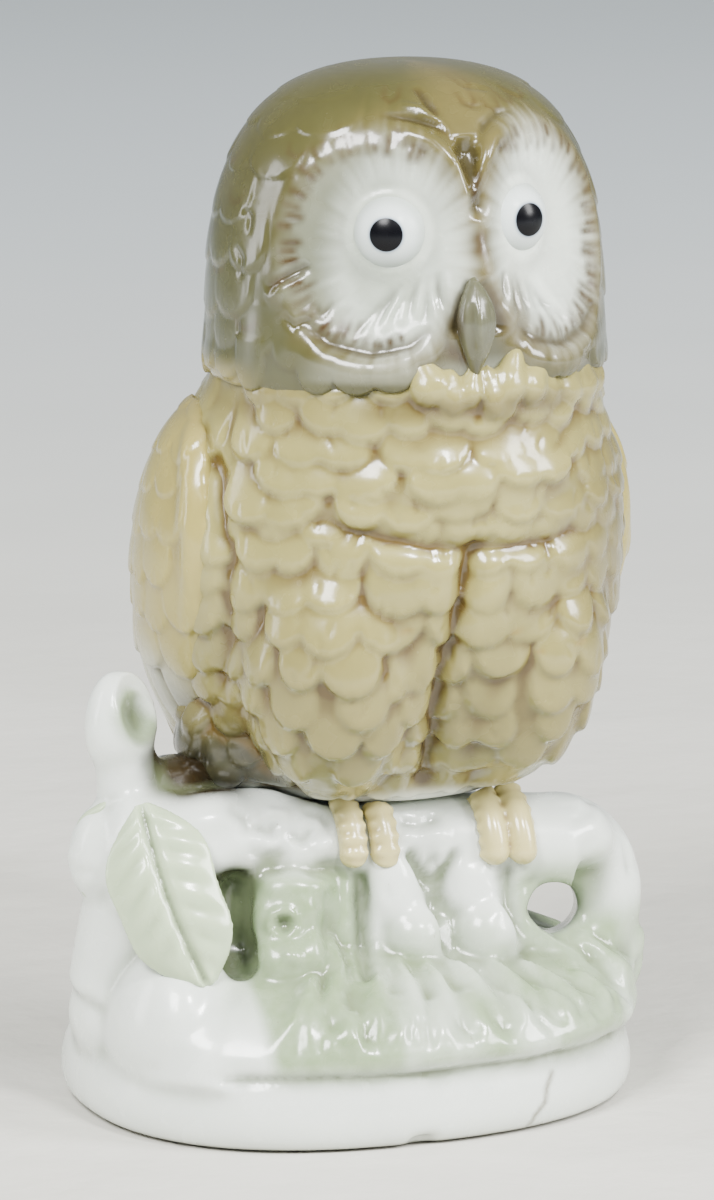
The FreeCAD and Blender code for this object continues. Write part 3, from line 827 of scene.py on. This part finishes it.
def paint_strokes(clay, surface, rng):
    """Short brown brush strokes round the discs, the dark line between the brows, and painted shade in the grooves
    beside and below the beak.
    """
    for side in (-1, 1):
        for a, b in zip(RIM[3:13], RIM[4:14]):
            for share in (0.05, 0.3, 0.55, 0.8):
                turn = a[0] + (b[0] - a[0]) * share + rng.uniform(-1, 1)
                z = a[1] + (b[1] - a[1]) * share + rng.uniform(-0.5, 0.5)
                inward = Vector(((31 - turn) * 0.55, 154 - z)).normalized() * rng.uniform(2.8, 5.4)
                stroke = surface.line([(side * turn, z), (side * (turn + inward.x / 0.55), z + inward.y)])
                if len(stroke) == 2:
                    clay.paint("brown_and_shade", stroke, rng.uniform(0.55, 0.95), rng.uniform(0.6, 1.2), taper=0.3)
    for line, width, strength, mask in (
        ([(1.5, 166.5), (2, 163), (2, 158.5)], 1.2, 1, "dark_and_shade"),
        ([(2, 156), (2.2, 153.5), (2, 151)], 1.7, 0.9, "brown_and_shade"),
        ([(-66, 145.2), (-60, 147.6), (-54, 149.8)], 0.7, 1, "brown_and_shade"),
        ([(-17, 178.3), (-12, 176.2), (-8, 173.8)], 0.6, 1, "brown_and_shade"),
        ([(-34, 174.2), (-20, 173.8), (-9, 172.6), (-3, 169.8)], 0.7, 0.5, "brown_and_shade"),
        # painted shade: dark lines in the grooves beside the beak and below its tip
        ([(-2, 147), (-5.5, 143), (-7, 138)], 1.5, 0.7, "brown_and_shade"),
        ([(3, 147), (7, 143), (9, 138)], 1.9, 0.8, "brown_and_shade"),
        ([(-11, 137), (-4, 134.5), (4, 134)], 1.2, 0.8, "brown_and_shade"),
    ):
        clay.paint(mask, surface.line(line), width, strength, taper=0.25)
    for side in (-1, 1):
        clay.paint("brown_and_shade", surface.line([(side * t, z) for t, z in LOWER_RIM]), 0.9, 0.8, taper=0.2)
    for turn, z in ((10, 176.5), (22, 175.6), (34, 176.4), (16, 179), (-30, 177.4), (-44, 171.5), (-62, 168.5),
                    (-84, 160), (-90, 148), (-74, 139.5), (-100, 154), (-96, 166), (-112, 145), (44, 176.8)):
        outline = surface.line([(turn - 5, z + 1.4), (turn - 3.5, z - 0.6), (turn, z - 1.3), (turn + 3.5, z - 0.6),
                                (turn + 5, z + 1.4)])
        clay.paint("brown_and_shade", outline, 0.5, rng.uniform(0.35, 0.65), taper=0.3)


# ---- eyes ------------------------------------------------------------------------------------
EYE_RADIUS = 6.6
EYES = {  # front of each eyeball, and where it looks
    "right_eye": (Vector((-7.3, -34.9, 155.4)), direction(-31, 3)),
    "left_eye": (Vector((18.6, -35.8, 156.7)), direction(14, 2)),
}


def make_eye(node):
    front, out = EYES[node]
    middle = front - out * EYE_RADIUS
    bpy.ops.mesh.primitive_uv_sphere_add(
        segments=96, ring_count=90, radius=EYE_RADIUS * MM, location=middle * MM,
        rotation=out.to_track_quat("Z", "Y").to_euler(),
    )
    obj = freeze(bpy.context.object)
    obj.name = "owl_" + node
    clay = Clay(obj)
    angle = np.degrees(np.arccos(np.clip((clay.co - np.array(middle)) @ np.array(out) / EYE_RADIUS, -1, 1)))
    clay.wash("pupil", 1, (angle, 25.2, 23.4))
    clay.wash("blue", 0.8, (angle, 31, 24))
    clay.wash("shade", 0.45, (angle, 36, 64))
    clay.store()
    material = painted(
        node + "_paint", (0.54, 0.59, 0.57),
        [("shade", (0.20, 0.23, 0.17), 1), ("blue", (0.07, 0.12, 0.22), 0.8), ("pupil", (0.001, 0.001, 0.002), 1.6)],
        pooling=0, mottle=0.03, wear=0, specks=0, subsurface=0.02,
    )
    shader = material.node_tree.nodes["Principled BSDF"]
    shader.inputs["Coat Weight"].default_value = 0
    shader.inputs["IOR"].default_value = 1.26
    finish_piece(obj, [node], material, rounds=2)


# ---- beak -------------------------------------------------------------------------------------
def make_beak():
    hook = tube("hook", [(6.9, -38.2, 148), (6.9, -39.4, 145), (7, -39.6, 141), (7, -40, 136.5),
                         (6.9, -39.4, 131.4)], [0.7, 2.6, 3.7, 2.7, 0.5])
    ridge = tube("ridge", [(6.7, -39.8, 147.6), (6.3, -42.4, 143.5), (6.4, -42.8, 139), (6.7, -41.2, 134.5),
                           (6.9, -39.6, 131.4)], [0.3, 0.7, 0.8, 0.6, 0.4])
    beak = join("owl_beak", [hook, ridge])
    rework(beak, (0.3, 6))
    clay = Clay(beak)
    for dx in (-1.7, 1.5):
        clay.stroke([(7 + dx, -42, 144.5), (7 + dx * 1.1, -42.3, 140), (7 + dx * 0.6, -41.5, 135)],
                    0.7, -0.35)
    clay.wash("shade", smoothstep(2.4, 3.4, np.abs(clay.co[:, 0] - 7)) + smoothstep(137, 131, clay.co[:, 2]) * 0.4)
    clay.store()
    material = painted("beak_paint", (0.072, 0.072, 0.040), [("shade", (0.03, 0.022, 0.009), 0.9)],
                       pooled=(0.035, 0.025, 0.01), mottle=0.1, wear=0.2)
    finish_piece(beak, ["beak"], material, rounds=12, depth=0.35)


# ---- wings ------------------------------------------------------------------------------------
def make_wing(node, side):
    rng = random.Random(21 if side < 0 else 22)
    core = cad_copy(node, "owl_" + node)
    skin = Surface(core, BODY_AXIS)
    edge = skin.line([(side * 96, 123), (side * 86, 119), (side * 80, 112), (side * 77, 103), (side * 77, 94),
                      (side * 81, 85), (side * 88, 76)], -1.3)
    roll = tube("roll", edge, [1.2, 2.6, 3.2, 3.2, 2.8, 2.2, 1.2][:len(edge)])
    core = join("owl_" + node, [core, roll])
    rework(core, (1.1, 4), (FINE, 3))
    surface = Surface(core, BODY_AXIS)
    clay = Clay(core)
    ends = (side * 82, side * 168)
    rows = feather_rows(surface, [
        (76, 8.6, 11.5, 13, 0.75), (83.5, 8.6, 11, 12, 0.75), (91, 8.6, 10.8, 12, 0.75), (98.5, 8.6, 10.8, 12, 0.7),
        (106, 8.6, 10.6, 12, 0.6), (113, 8.6, 10.4, 11, 0.5), (119.5, 8.6, 10, 10, 0.4),
    ], rng, turns=(min(ends), max(ends)))
    clay.scales(rows)
    for k in range(9):              # long flight feathers toward the tip
        top, tip = 80 + 11 * k, 98 + 8 * k
        line = surface.line([(side * (top + (tip - top) * s), 78 - 26 * s) for s in (0, 0.2, 0.4, 0.6, 0.8, 1)])
        if len(line) > 2:
            clay.stroke(line, 0.8, -0.9, taper=0.15)
    co = clay.co
    z, back = co[:, 2], co[:, 1]
    turn = side * np.degrees(np.arctan2(co[:, 0] - BODY_AXIS.x, -(back - BODY_AXIS.y)))
    clay.wash("umber_and_shade", 0.7, (z, 114, 126))
    clay.wash("white", 1, (z, 84, 74), (z, 60, 66), (turn % 360, 84, 104))
    clay.wash("smoke_and_shade", smoothstep(78, 63, z) * smoothstep(118, 92, turn % 360) + smoothstep(66, 57, z))
    clay.store()
    soften(core, 0.45, 1)
    material = painted(
        node + "_paint", (0.27, 0.225, 0.060),
        [("umber_and_shade", (0.15, 0.12, 0.045), 0.8), ("white", (0.46, 0.47, 0.38), 0.9),
         ("smoke_and_shade", (0.025, 0.027, 0.023), 0.95)],
        pooled=(0.11, 0.075, 0.025), pooling=0.8, mottle=0.10, wear=0.25,
    )
    finish_piece(core, [node], material)


def make_tail():
    core = cad_copy("tail", "owl_tail")
    voxel(core, 0.8)
    soften(core, 0.5, 5)
    voxel(core, FINE)
    clay = Clay(core)
    surface = Surface(core, Vector((OWL_X, 25, 0)))
    for k in range(-3, 4):
        line = surface.line([(180 + k * (14 + 3 * s), 77 - 30 * s) for s in (0, 0.25, 0.5, 0.75, 1)])
        if len(line) > 2:
            clay.stroke(line, 0.9, -0.9, taper=0.1)
    clay.wash("umber_and_shade", 1, (clay.co[:, 2], 66, 78))
    clay.store()
    soften(core, 0.5, 2)
    material = painted("tail_paint", (0.04, 0.038, 0.028), [("umber_and_shade", (0.21, 0.18, 0.09), 0.9)],
                       pooled=(0.012, 0.009, 0.006), mottle=0.2, wear=0.1)
    finish_piece(core, ["tail"], material)


# ---- toes -------------------------------------------------------------------------------------
def make_toes(node):
    core = cad_copy(node, "owl_" + node)
    rework(core, (0.3, 5))
    clay = Clay(core)
    low, high = node_low(node), node_high(node)
    log = node_middle("perch_log")
    for k in range(8):              # horny rings across each toe, square to the log
        a = math.radians(4 + 11 * k)
        y = log.y - 13 * math.cos(a) - 1
        z = 43.5 + 12.5 * math.sin(a)
        clay.stroke([(low.x - 2, y, z), (high.x + 2, y, z)], 0.75, 0.42, taper=0)
        clay.paint("shade", [(low.x - 2, y, z + 1.2), (high.x + 2, y, z + 1.2)], 0.5, 0.5, taper=0)
    clay.store()
    material = painted(node + "_paint", (0.46, 0.40, 0.17), [("shade", (0.25, 0.18, 0.07), 0.6)],
                       pooled=(0.19, 0.13, 0.05), mottle=0.06, wear=0.3)
    finish_piece(core, [node], material, rounds=10, depth=0.25)


# ---- perch, mound and plinth --------------------------------------------------------------------
def grass_tuft(clay, surface, root, ends, width, height):
    """Blades that fan out from one root; root and ends are turn and height."""
    for turn, z in ends:
        bend = (root[0] + (turn - root[0]) * 0.35, root[1] + (z - root[1]) * 0.5)
        line = surface.line([root, bend, (turn, z)])
        if len(line) == 3:
            clay.stroke(line, width, height, taper=0.35)
            edge = surface.line([(root[0] + 1.6, root[1]), (bend[0] + 2.2, bend[1]), (turn + 2.6, z)])
            if len(edge) == 3:
                clay.stroke(edge, width * 0.55, -height * 0.75, taper=0.35)


def make_base():
    """Log, roots, trunk, twig, mound and plinth, worked together so that glaze fills every join."""
    rng = random.Random(3)
    parts = [cad_copy(n, n + "_form") for n in ("perch_log", "root_arch", "left_root", "cut_twig", "plinth")]
    parts.append(loft("trunk", [
        (20, 30, 25, 1.5, -2), (26, 27.5, 22, 2, -1.5), (32, 25, 19, 2.5, -1.5), (40, 23.8, 17.4, 2.8, -1),
        (48, 21, 14.5, 3.5, 0.2), (53, 19, 12.5, 5, 2.4),
    ], fullness=2.1))
    parts.append(loft("mound", [
        (9, 47.6, 40.2, 0, 0.5), (12.6, 48, 40.6, 0.6, 0.3), (14, 48.8, 41.4, 1, 0),
        (16.5, 48.8, 41.2, 1.4, 0.2), (19.5, 47.2, 39.4, 1.6, 0.5), (22.5, 43.8, 36.3, 0, 0.5),
        (26, 37.5, 30.5, -2.5, 0.5), (29, 29, 22, -4, 0.5),
    ]))
    parts.append(loft("left_slope", [
        (11, 15, 27, -32.5, -6), (18, 14, 24, -32.5, -6), (25, 11.5, 18, -32.5, -6), (32, 8.5, 12, -34.5, -6),
        (39, 7, 9, -37.5, -5.5), (46, 6, 7.5, -40.5, -4.5),
    ], fullness=2))
    bpy.ops.mesh.primitive_torus_add(major_radius=8.4 * MM, minor_radius=3.7 * MM, major_segments=40, minor_segments=16,
                                     location=Vector((33.2, -13, 32.2)) * MM,
                                     rotation=Vector((-0.28, 1, -0.1)).to_track_quat("Z", "Y").to_euler())
    parts.append(freeze(bpy.context.object))
    bulges = [
        ((-42, -0.5, 68.3), (6.4, 6.4, 9.4), (0, 8, 0)), ((-28, -5, 34), (7.5, 9, 12), (0, 0, 0)),
        ((-17, -15, 37), (8, 7, 9.5), (0, 12, 0)), ((-18, -20, 29), (8, 6, 6), (0, 0, 0)),
        ((1.5, -16.5, 38), (5.6, 5.2, 9.5), (0, -6, 0)), ((4.5, -19.5, 31), (6, 6, 6), (0, 0, 0)),
        ((15.5, -16.5, 38), (5.4, 5, 8.5), (0, 5, 0)), ((17.5, -19.5, 30), (6.5, 6.5, 7), (0, 0, 0)),
        ((31, -17, 21), (12, 9, 4.5), (0, 8, 0)), ((39, -12, 18), (9, 13, 7), (0, 0, 0)),
        ((-42, 1.5, 16.5), (8.5, 12, 9.5), (0, 0, 0)),
        ((-29.5, -7, 51.5), (11, 7, 5.5), (0, -4, 0)), ((-46.5, -1, 46.5), (5, 6.5, 8.5), (0, 8, 0)),
        ((36.5, -12.5, 45), (8.5, 7.5, 6.5), (0, 24, 0)), ((-33, 1.5, 57), (8.5, 7, 4.6), (0, -10, 0)),
        ((-38.5, -9, 18), (9.5, 17, 15), (0, 8, 0)),
    ]
    for k, (place, radii, turn) in enumerate(bulges):
        parts.append(ball("bulge_%d" % k, place, radii, turn))
    base = join("perch_and_mound", parts)
    voxel(base, 0.9)
    hole = Vector((33, -13, 32.2))
    through = Vector((-0.34, -0.92, 0.16))
    bpy.ops.mesh.primitive_cylinder_add(vertices=48, radius=4.7 * MM, depth=60 * MM, location=hole * MM,
                                        rotation=through.to_track_quat("Z", "Y").to_euler())
    drill = bpy.context.object
    apply_modifier(base, "BOOLEAN", operation="DIFFERENCE", object=drill, solver="EXACT")
    bpy.data.objects.remove(drill)
    soften(base, 0.5, 5)
    rework(base, (0.72, 2))
    clay = Clay(base)
    surface = Surface(base, Vector((2, -1, 0)))
    front = surface.front_line
    for pairs, width, height in (
        ([(-26, 45), (-27, 40), (-27.5, 33), (-27.5, 27)], 2.4, -3.4),
        ([(-4.8, 43), (-5, 37), (-5.4, 31), (-7.5, 26)], 1.1, -3), ([(-7.4, 42), (-7.6, 36), (-8.4, 31)], 1.5, 1),
        ([(3.6, 46.5), (6.2, 42), (8.2, 38.5)], 1, -2.2), ([(13, 46), (10.2, 42), (8.2, 38.5)], 0.9, -1.6),
        ([(8.2, 39), (9, 33), (10.5, 27)], 1.2, -2.2), ([(7, 43.5), (9.5, 44)], 1.4, -1.2),
        ([(21.5, 43), (21.5, 36), (23.5, 29)], 1.4, -1.8), ([(18.5, 40), (19, 34)], 1.2, 0.8),
        ([(-24, 45), (-14, 44.5), (-6, 44)], 1.5, -1.4), ([(-23, 42), (-14, 41.6), (-8, 41.8)], 1.3, 0.8),
        ([(-23, 40), (-23.5, 34), (-22, 28)], 1.3, 0.9), ([(-16.5, 41), (-15.5, 35), (-16.5, 29)], 1.3, 0.8),
        ([(-12.5, 42), (-12, 36), (-13.5, 29)], 0.9, -0.7), ([(-10, 41.5), (-9.6, 35), (-11, 28)], 1.2, 0.7),
        ([(-25, 38), (-25.5, 32)], 0.8, -0.6), ([(-18, 30), (-15.5, 26.5), (-12, 25)], 1.1, -0.6),
        ([(-23, 52), (-20, 50.5), (-18.5, 52.5)], 1, -1.2),
        ([(-17.5, 50.5), (-14.5, 49), (-12, 51)], 1, -1.2),
        ([(-25, 48.5), (-21.5, 46.8), (-17, 47.6)], 1.1, -1.1),
        ([(-13.5, 53.5), (-10.5, 52.5), (-9.5, 50)], 0.9, -1),
        ([(-20.5, 53.5), (-16, 52.9)], 1, 1), ([(-22, 49), (-19, 48.6)], 0.9, 0.9),
        ([(-13, 47.5), (-9, 48.5)], 1.1, 0.8),
        ([(-27, 55), (-24, 53), (-24, 50)], 1, -0.9),
        ([(2.5, 51), (6.5, 49.6), (11, 51)], 1.4, -1.1), ([(2.2, 48), (6, 49), (12, 48)], 1.3, 0.9),
        ([(45, 48.5), (46.6, 43), (47.8, 36)], 0.9, -1), ([(41, 50), (38, 49.5), (33, 47.6)], 1.1, -0.8),
        ([(25, 33), (30, 27.5), (37, 24)], 1.6, 0.9), ([(22, 37), (25, 38.5), (27.5, 38.5)], 1, -0.9),
        ([(38, 26), (43, 22), (46, 20)], 1, 0.6), ([(36, 25), (40, 20.5), (43, 18)], 0.9, -0.6),
    ):
        fine = abs(height) < 1.21 and width < 1.3       # fine marks lie shallow under the glaze
        clay.stroke(front(pairs), width * 1.12, height * (0.75 if fine else 1))
    knot, normal = surface.front(-20.3, 36)
    clay.stroke(ring_points(knot, normal, 2.3, 16), 0.8, 1.3, taper=0)
    clay.stroke([knot, knot + Vector((0, 0, 0.1))], 1.3, -1.4, taper=0)
    bead, normal = surface.front(-20.6, 31.4)
    clay.stroke([bead, bead + Vector((0.8, 0, -0.5))], 1.2, 1.2, taper=0)
    for _ in range(40):             # bark wrinkles round the log and the roots
        turn, z = rng.uniform(-180, 180), rng.uniform(34, 56)
        line = surface.line([(turn + 2.2 * k + rng.uniform(-0.6, 0.6), z + rng.uniform(-0.8, 0.8)) for k in range(4)])
        if len(line) > 2:
            clay.stroke(line, 1.1, rng.choice((-0.3, 0.25)), taper=0.35)
    tufts = [(-36, 28, 15, 9), (-30, 29, 17, 9), (-17, 29, 16, 8), (-6, 29, 15, 8), (5, 28.5, 15, 8), (17, 29, 16, 9),
             (30, 28, 16, 9), (42, 26, 15, 8), (-24, 24, 14, 7), (-11, 24, 14, 7), (0, 23, 14, 7), (11, 24, 14, 7),
             (24, 23, 14, 7), (36, 22, 14, 7), (52, 24, 14, 8)]
    tufts += [(turn, 27, 16, 9) for turn in range(66, 240, 12)]
    for turn, top, bottom, spread in tufts:
        ends = [(turn + spread * (k / 4 - 0.5) * 1.5 + rng.uniform(-1, 1), bottom + rng.uniform(-1.5, 2.5)
                 + 0.10 * (k - 2) ** 2 * 4) for k in range(5)]
        grass_tuft(clay, surface, (turn + rng.uniform(-1, 1), top + rng.uniform(-1, 1)), ends, 1.3, 0.72)
    facing = Vector((0.474, -0.803, 0.35)).normalized()
    cut = Vector((-41.8, -0.8, 69)) + facing * 3.4
    clay.flatten(cut, facing, 7.5)
    clay.stroke([cut, cut + Vector((0.2, 0.1, -1.2))], 2.6, -1.2, taper=0)
    clay.stroke(ring_points(cut, facing, 4.1, 20), 0.7, 0.5, taper=0)
    clay.stroke(surface.line([(-68, 13), (-50, 12.6), (-30, 12.8), (-10, 12.6), (10, 12.8), (30, 12.8), (50, 12.6),
                              (75, 12.8)]), 0.9, -0.9, taper=0.15)
    clay.stroke(surface.line([(-22, 16.2), (-5, 15.6), (8, 16.4), (24, 15.4), (40, 16.2), (58, 15.6), (75, 16.4)]),
                1.9, 0.9, taper=0.2)
    chip = front([(-3.4, 0.8), (-1.8, 0.9)])
    clay.stroke(chip, 1.5, -1.1, taper=0)
    clay.store()
    soften(base, 0.5, 2)
    clay = Clay(base)
    x, y, z = clay.co.T
    patches = np.sin(x * 0.31 + 1.3) * np.cos(y * 0.27 + x * 0.11) * 0.5 + 0.5
    grassy = smoothstep(35, 28, z) * smoothstep(12.5, 15.5, z) * smoothstep(-48, -20, x + 0.25 * y)
    clay.wash("green", grassy * (0.40 + 0.6 * patches))
    trunk = smoothstep(46.5, 42, z) * smoothstep(-30, -26, x) * smoothstep(-1, -8, x) * smoothstep(-8, -12, y)
    clay.wash("green", trunk, (z, 10, 16))
    clay.wash("shadow", 1, (z, 50, 45), (z, 24, 38), (x, -30, -26), (x, 45, 38), (y, -20, -13))
    clay.wash("green", 0.55, (z, 38, 32), (x, -4, 0), (x, 22, 16), (y, -12, -16), (z, 10, 16))
    clay.wash("green", 0.9, (z, 46, 38), (x, 20, 25), (x, 45, 38), (y, -8, -16), (z, 10, 16))
    to_cut = np.sqrt((x - cut.x) ** 2 + (y - cut.y) ** 2 + (z - cut.z) ** 2)
    clay.wash("green", 0.9, (to_cut, 6.5, 4), (y, -1, -2.5))
    # Painted shade: dark in the hollow centre of the twig's cut end and deep in the hollow between the leaf, the left
    # root and the trunk.
    clay.wash("dark_and_shade", 0.45, (to_cut, 3.5, 0.8))
    clay.wash("dark_and_shade", 1.6, (np.abs(x + 25), 9.5, 6), (z, 48, 43), (y, -18, -13), (z, 22, 26), (y, 10, 6))
    # Painted shade: dark where the owl's rump meets the twig and the log, and on the log's top under the owl.
    clay.wash("smoke_and_shade", 1.2, (np.sqrt(((x + 29.5) / 1.15) ** 2 + (z - 61) ** 2), 11, 4), (y, -12, -5))
    clay.wash("smoke_and_shade", 0.5, (np.abs(x - 4), 22, 2), (z, 53, 57))
    clay.paint("crack", front([(22.4, 9.6), (21, 7.4), (20.6, 5), (18.6, 3), (17.8, 1.2)]), 0.55, 1, taper=0)
    clay.paint("grime_and_shade", chip, 1.1, 0.9, taper=0)
    # Painted shadow: the plinth darker along its foot where it meets the floor; the chip above keeps real grime.
    clay.wash("grime_and_shade", 0.7, (z, 1.4, 0.2))
    clay.store()
    material = painted(
        "perch_paint", (0.62, 0.66, 0.61),
        [("shadow", (0.16, 0.175, 0.11), 0.7), ("green", (0.165, 0.235, 0.105), 0.9),
         ("dark_and_shade", (0.018, 0.020, 0.008), 1), ("smoke_and_shade", (0.020, 0.013, 0.005), 1.2),
         ("crack", (0.12, 0.10, 0.06), 0.8), ("grime_and_shade", (0.10, 0.08, 0.045), 0.8)],
        pooled=(0.12, 0.15, 0.08), pooling=0.85, mottle=0.05, wear=0.2, specks=0.5, subsurface=0.08,
    )
    finish_piece(base, ["perch_log", "root_arch", "left_root", "cut_twig", "stump", "ground", "plinth"],
                 material, rounds=30, depth=0.8)


# ---- leaves --------------------------------------------------------------------------------------
def make_leaf(name, node, root, tip, facing, width, bulge, curl, veins):
    """A leaf pressed from a sheet of clay: pointed oval, midrib groove, side veins."""
    root, tip = Vector(root), Vector(tip)
    along = tip - root
    length = along.length
    t = along.normalized()
    n = (Vector(facing) - t * Vector(facing).dot(t)).normalized()
    b = t.cross(n)
    across, down = 25, 41
    verts, faces = [], []
    for j in range(down):
        v = j / (down - 1)
        half = width / 2 * (math.sin(math.pi * min(1, v * 0.97 + 0.015)) ** 0.75) * (1 + 0.12 * math.sin(v * 9))
        half = max(half, 0.25)
        sway = 1.2 * math.sin(v * math.pi)
        for i in range(across):
            u = 2 * i / (across - 1) - 1
            h = bulge * math.sin(math.pi * v) * (1 - 0.5 * u * u) - curl * abs(u) ** 3
            h -= 1.35 * math.exp(-(u * half / 0.75) ** 2)
            phase = (v * veins - abs(u) * 1.1) * math.tau
            h += 0.24 * math.sin(phase + 0.8 * math.sin(5 * v)) * min(1, abs(u) * 3) * (1 - abs(u) ** 4)
            p = root + t * (v * length) + b * (u * half + sway) + n * h
            verts.append(p * MM)
    for j in range(down - 1):
        for i in range(across - 1):
            a = j * across + i
            faces.append((a, a + 1, a + across + 1, a + across))
    mesh = bpy.data.meshes.new(name)
    mesh.from_pydata(verts, [], faces)
    leaf = add_object(name, mesh)
    apply_modifier(leaf, "SOLIDIFY", thickness=2.2 * MM, offset=-1 if n.dot(mesh.polygons[0].normal) > 0 else 1)
    rework(leaf, (0.35, 4))
    clay = Clay(leaf)
    clay.wash("edge", np.zeros(len(clay.co)) + 0.15)
    clay.store()
    material = painted(name + "_paint", (0.31, 0.40, 0.22), [("edge", (0.62, 0.66, 0.60), 1)],
                       pooled=(0.10, 0.13, 0.065), pooling=1.2, mottle=0.08, wear=0.5, subsurface=0.06)
    finish_piece(leaf, [node], material, rounds=24, depth=0.5)


# ---- room, light and camera -----------------------------------------------------------------------
def make_room():
    """A wide pale tablecloth with soft folds, cooler away from the figure, under an even pale sky."""
    bpy.ops.mesh.primitive_circle_add(vertices=96, radius=12, fill_type="NGON", location=(0, 0, -0.0002))
    floor = bpy.context.object
    floor.name = "pale_floor"
    mat = bpy.data.materials.new("pale_cloth")
    mat.use_nodes = True
    g = Graph(mat.node_tree)
    cloth = g.fill(g.nodes.new("ShaderNodeValToRGB"), {"Fac": g.noise(9, 5)})
    cloth.color_ramp.elements[0].color = (0.47, 0.46, 0.41, 1)
    cloth.color_ramp.elements[1].color = (0.60, 0.59, 0.54, 1)
    distance = g.nodes.new("ShaderNodeVectorMath")
    distance.operation = "LENGTH"
    distance = g.fill(distance, {0: g.place}).outputs["Value"]
    away = g.span(distance, 0.10, 1.5, curve="SMOOTHSTEP")
    calm = g.span(distance, 0.10, 0.55, 0.5, 0.02)
    folds = g.bump(g.noise(4.5, 2), calm, 0.03)
    g.fill(g.nodes["Principled BSDF"], {
        "Base Color": g.mix(away, cloth.outputs["Color"], (0.76, 0.83, 0.88, 1)), "Roughness": 0.9,
        "Normal": g.bump(g.noise(45, 6), calm, 0.003, Normal=folds),
    })
    floor.data.materials.append(mat)
    world = bpy.data.worlds.new("pale_room")
    bpy.context.scene.world = world
    world.use_nodes = True
    sky = world.node_tree.nodes["Background"].inputs
    sky["Color"].default_value, sky["Strength"].default_value = (0.96, 1, 0.97, 1), 0.42


def make_lights():
    """Soft boxes round the figure: azimuth, elevation, width, height and watts."""
    middle, distance = Vector((0, 0, 0.09)), 1.4
    for name, azimuth, elevation, width, height, power in (
        ("window_high", -50, 42, 0.50, 0.50, 45), ("window_left", -112, 16, 0.25, 0.9, 7),
        ("lamp_front", 12, 44, 0.21, 0.21, 26), ("window_right", 48, 26, 0.42, 0.7, 35),
    ):
        light = bpy.data.lights.new(name, "AREA")
        light.shape = "RECTANGLE"
        light.size, light.size_y, light.energy = width, height, power
        lamp = add_object(name, light)
        lamp.location = direction(azimuth, elevation) * distance + middle
        lamp.rotation_euler = (middle - lamp.location).to_track_quat("-Z", "Y").to_euler()


def make_camera():
    back = direction(-22, 11.5)
    lens = bpy.data.cameras.new("camera")
    lens.lens, lens.sensor_width = 190.7, 36
    camera = add_object("camera", lens)
    camera.location = Vector((1.9, 0.5, 86.5)) * MM + back * 1.1
    camera.rotation_euler = (-back).to_track_quat("-Z", "Y").to_euler()
    bpy.context.scene.camera = camera


make_body()
make_head()
for eye in EYES:
    make_eye(eye)
make_beak()
make_wing("right_wing", -1)
make_wing("left_wing", 1)
make_tail()
make_toes("right_toes")
make_toes("left_toes")
make_base()
make_leaf("broad_leaf", "large_leaf", (-42.5, -11.5, 57), (-35, -23.5, 27), (-0.35, -1, 0.15),
          20.5, 2.2, 1.6, 7)
make_leaf("folded_leaf", "small_leaf", (-45, -4.5, 56.5), (-49.5, -3.5, 38.5), (-0.9, -0.8, 0.2),
          10.5, 1.4, 1, 5)
bpy.data.objects.remove(PAD)
make_room()
make_lights()
make_camera()
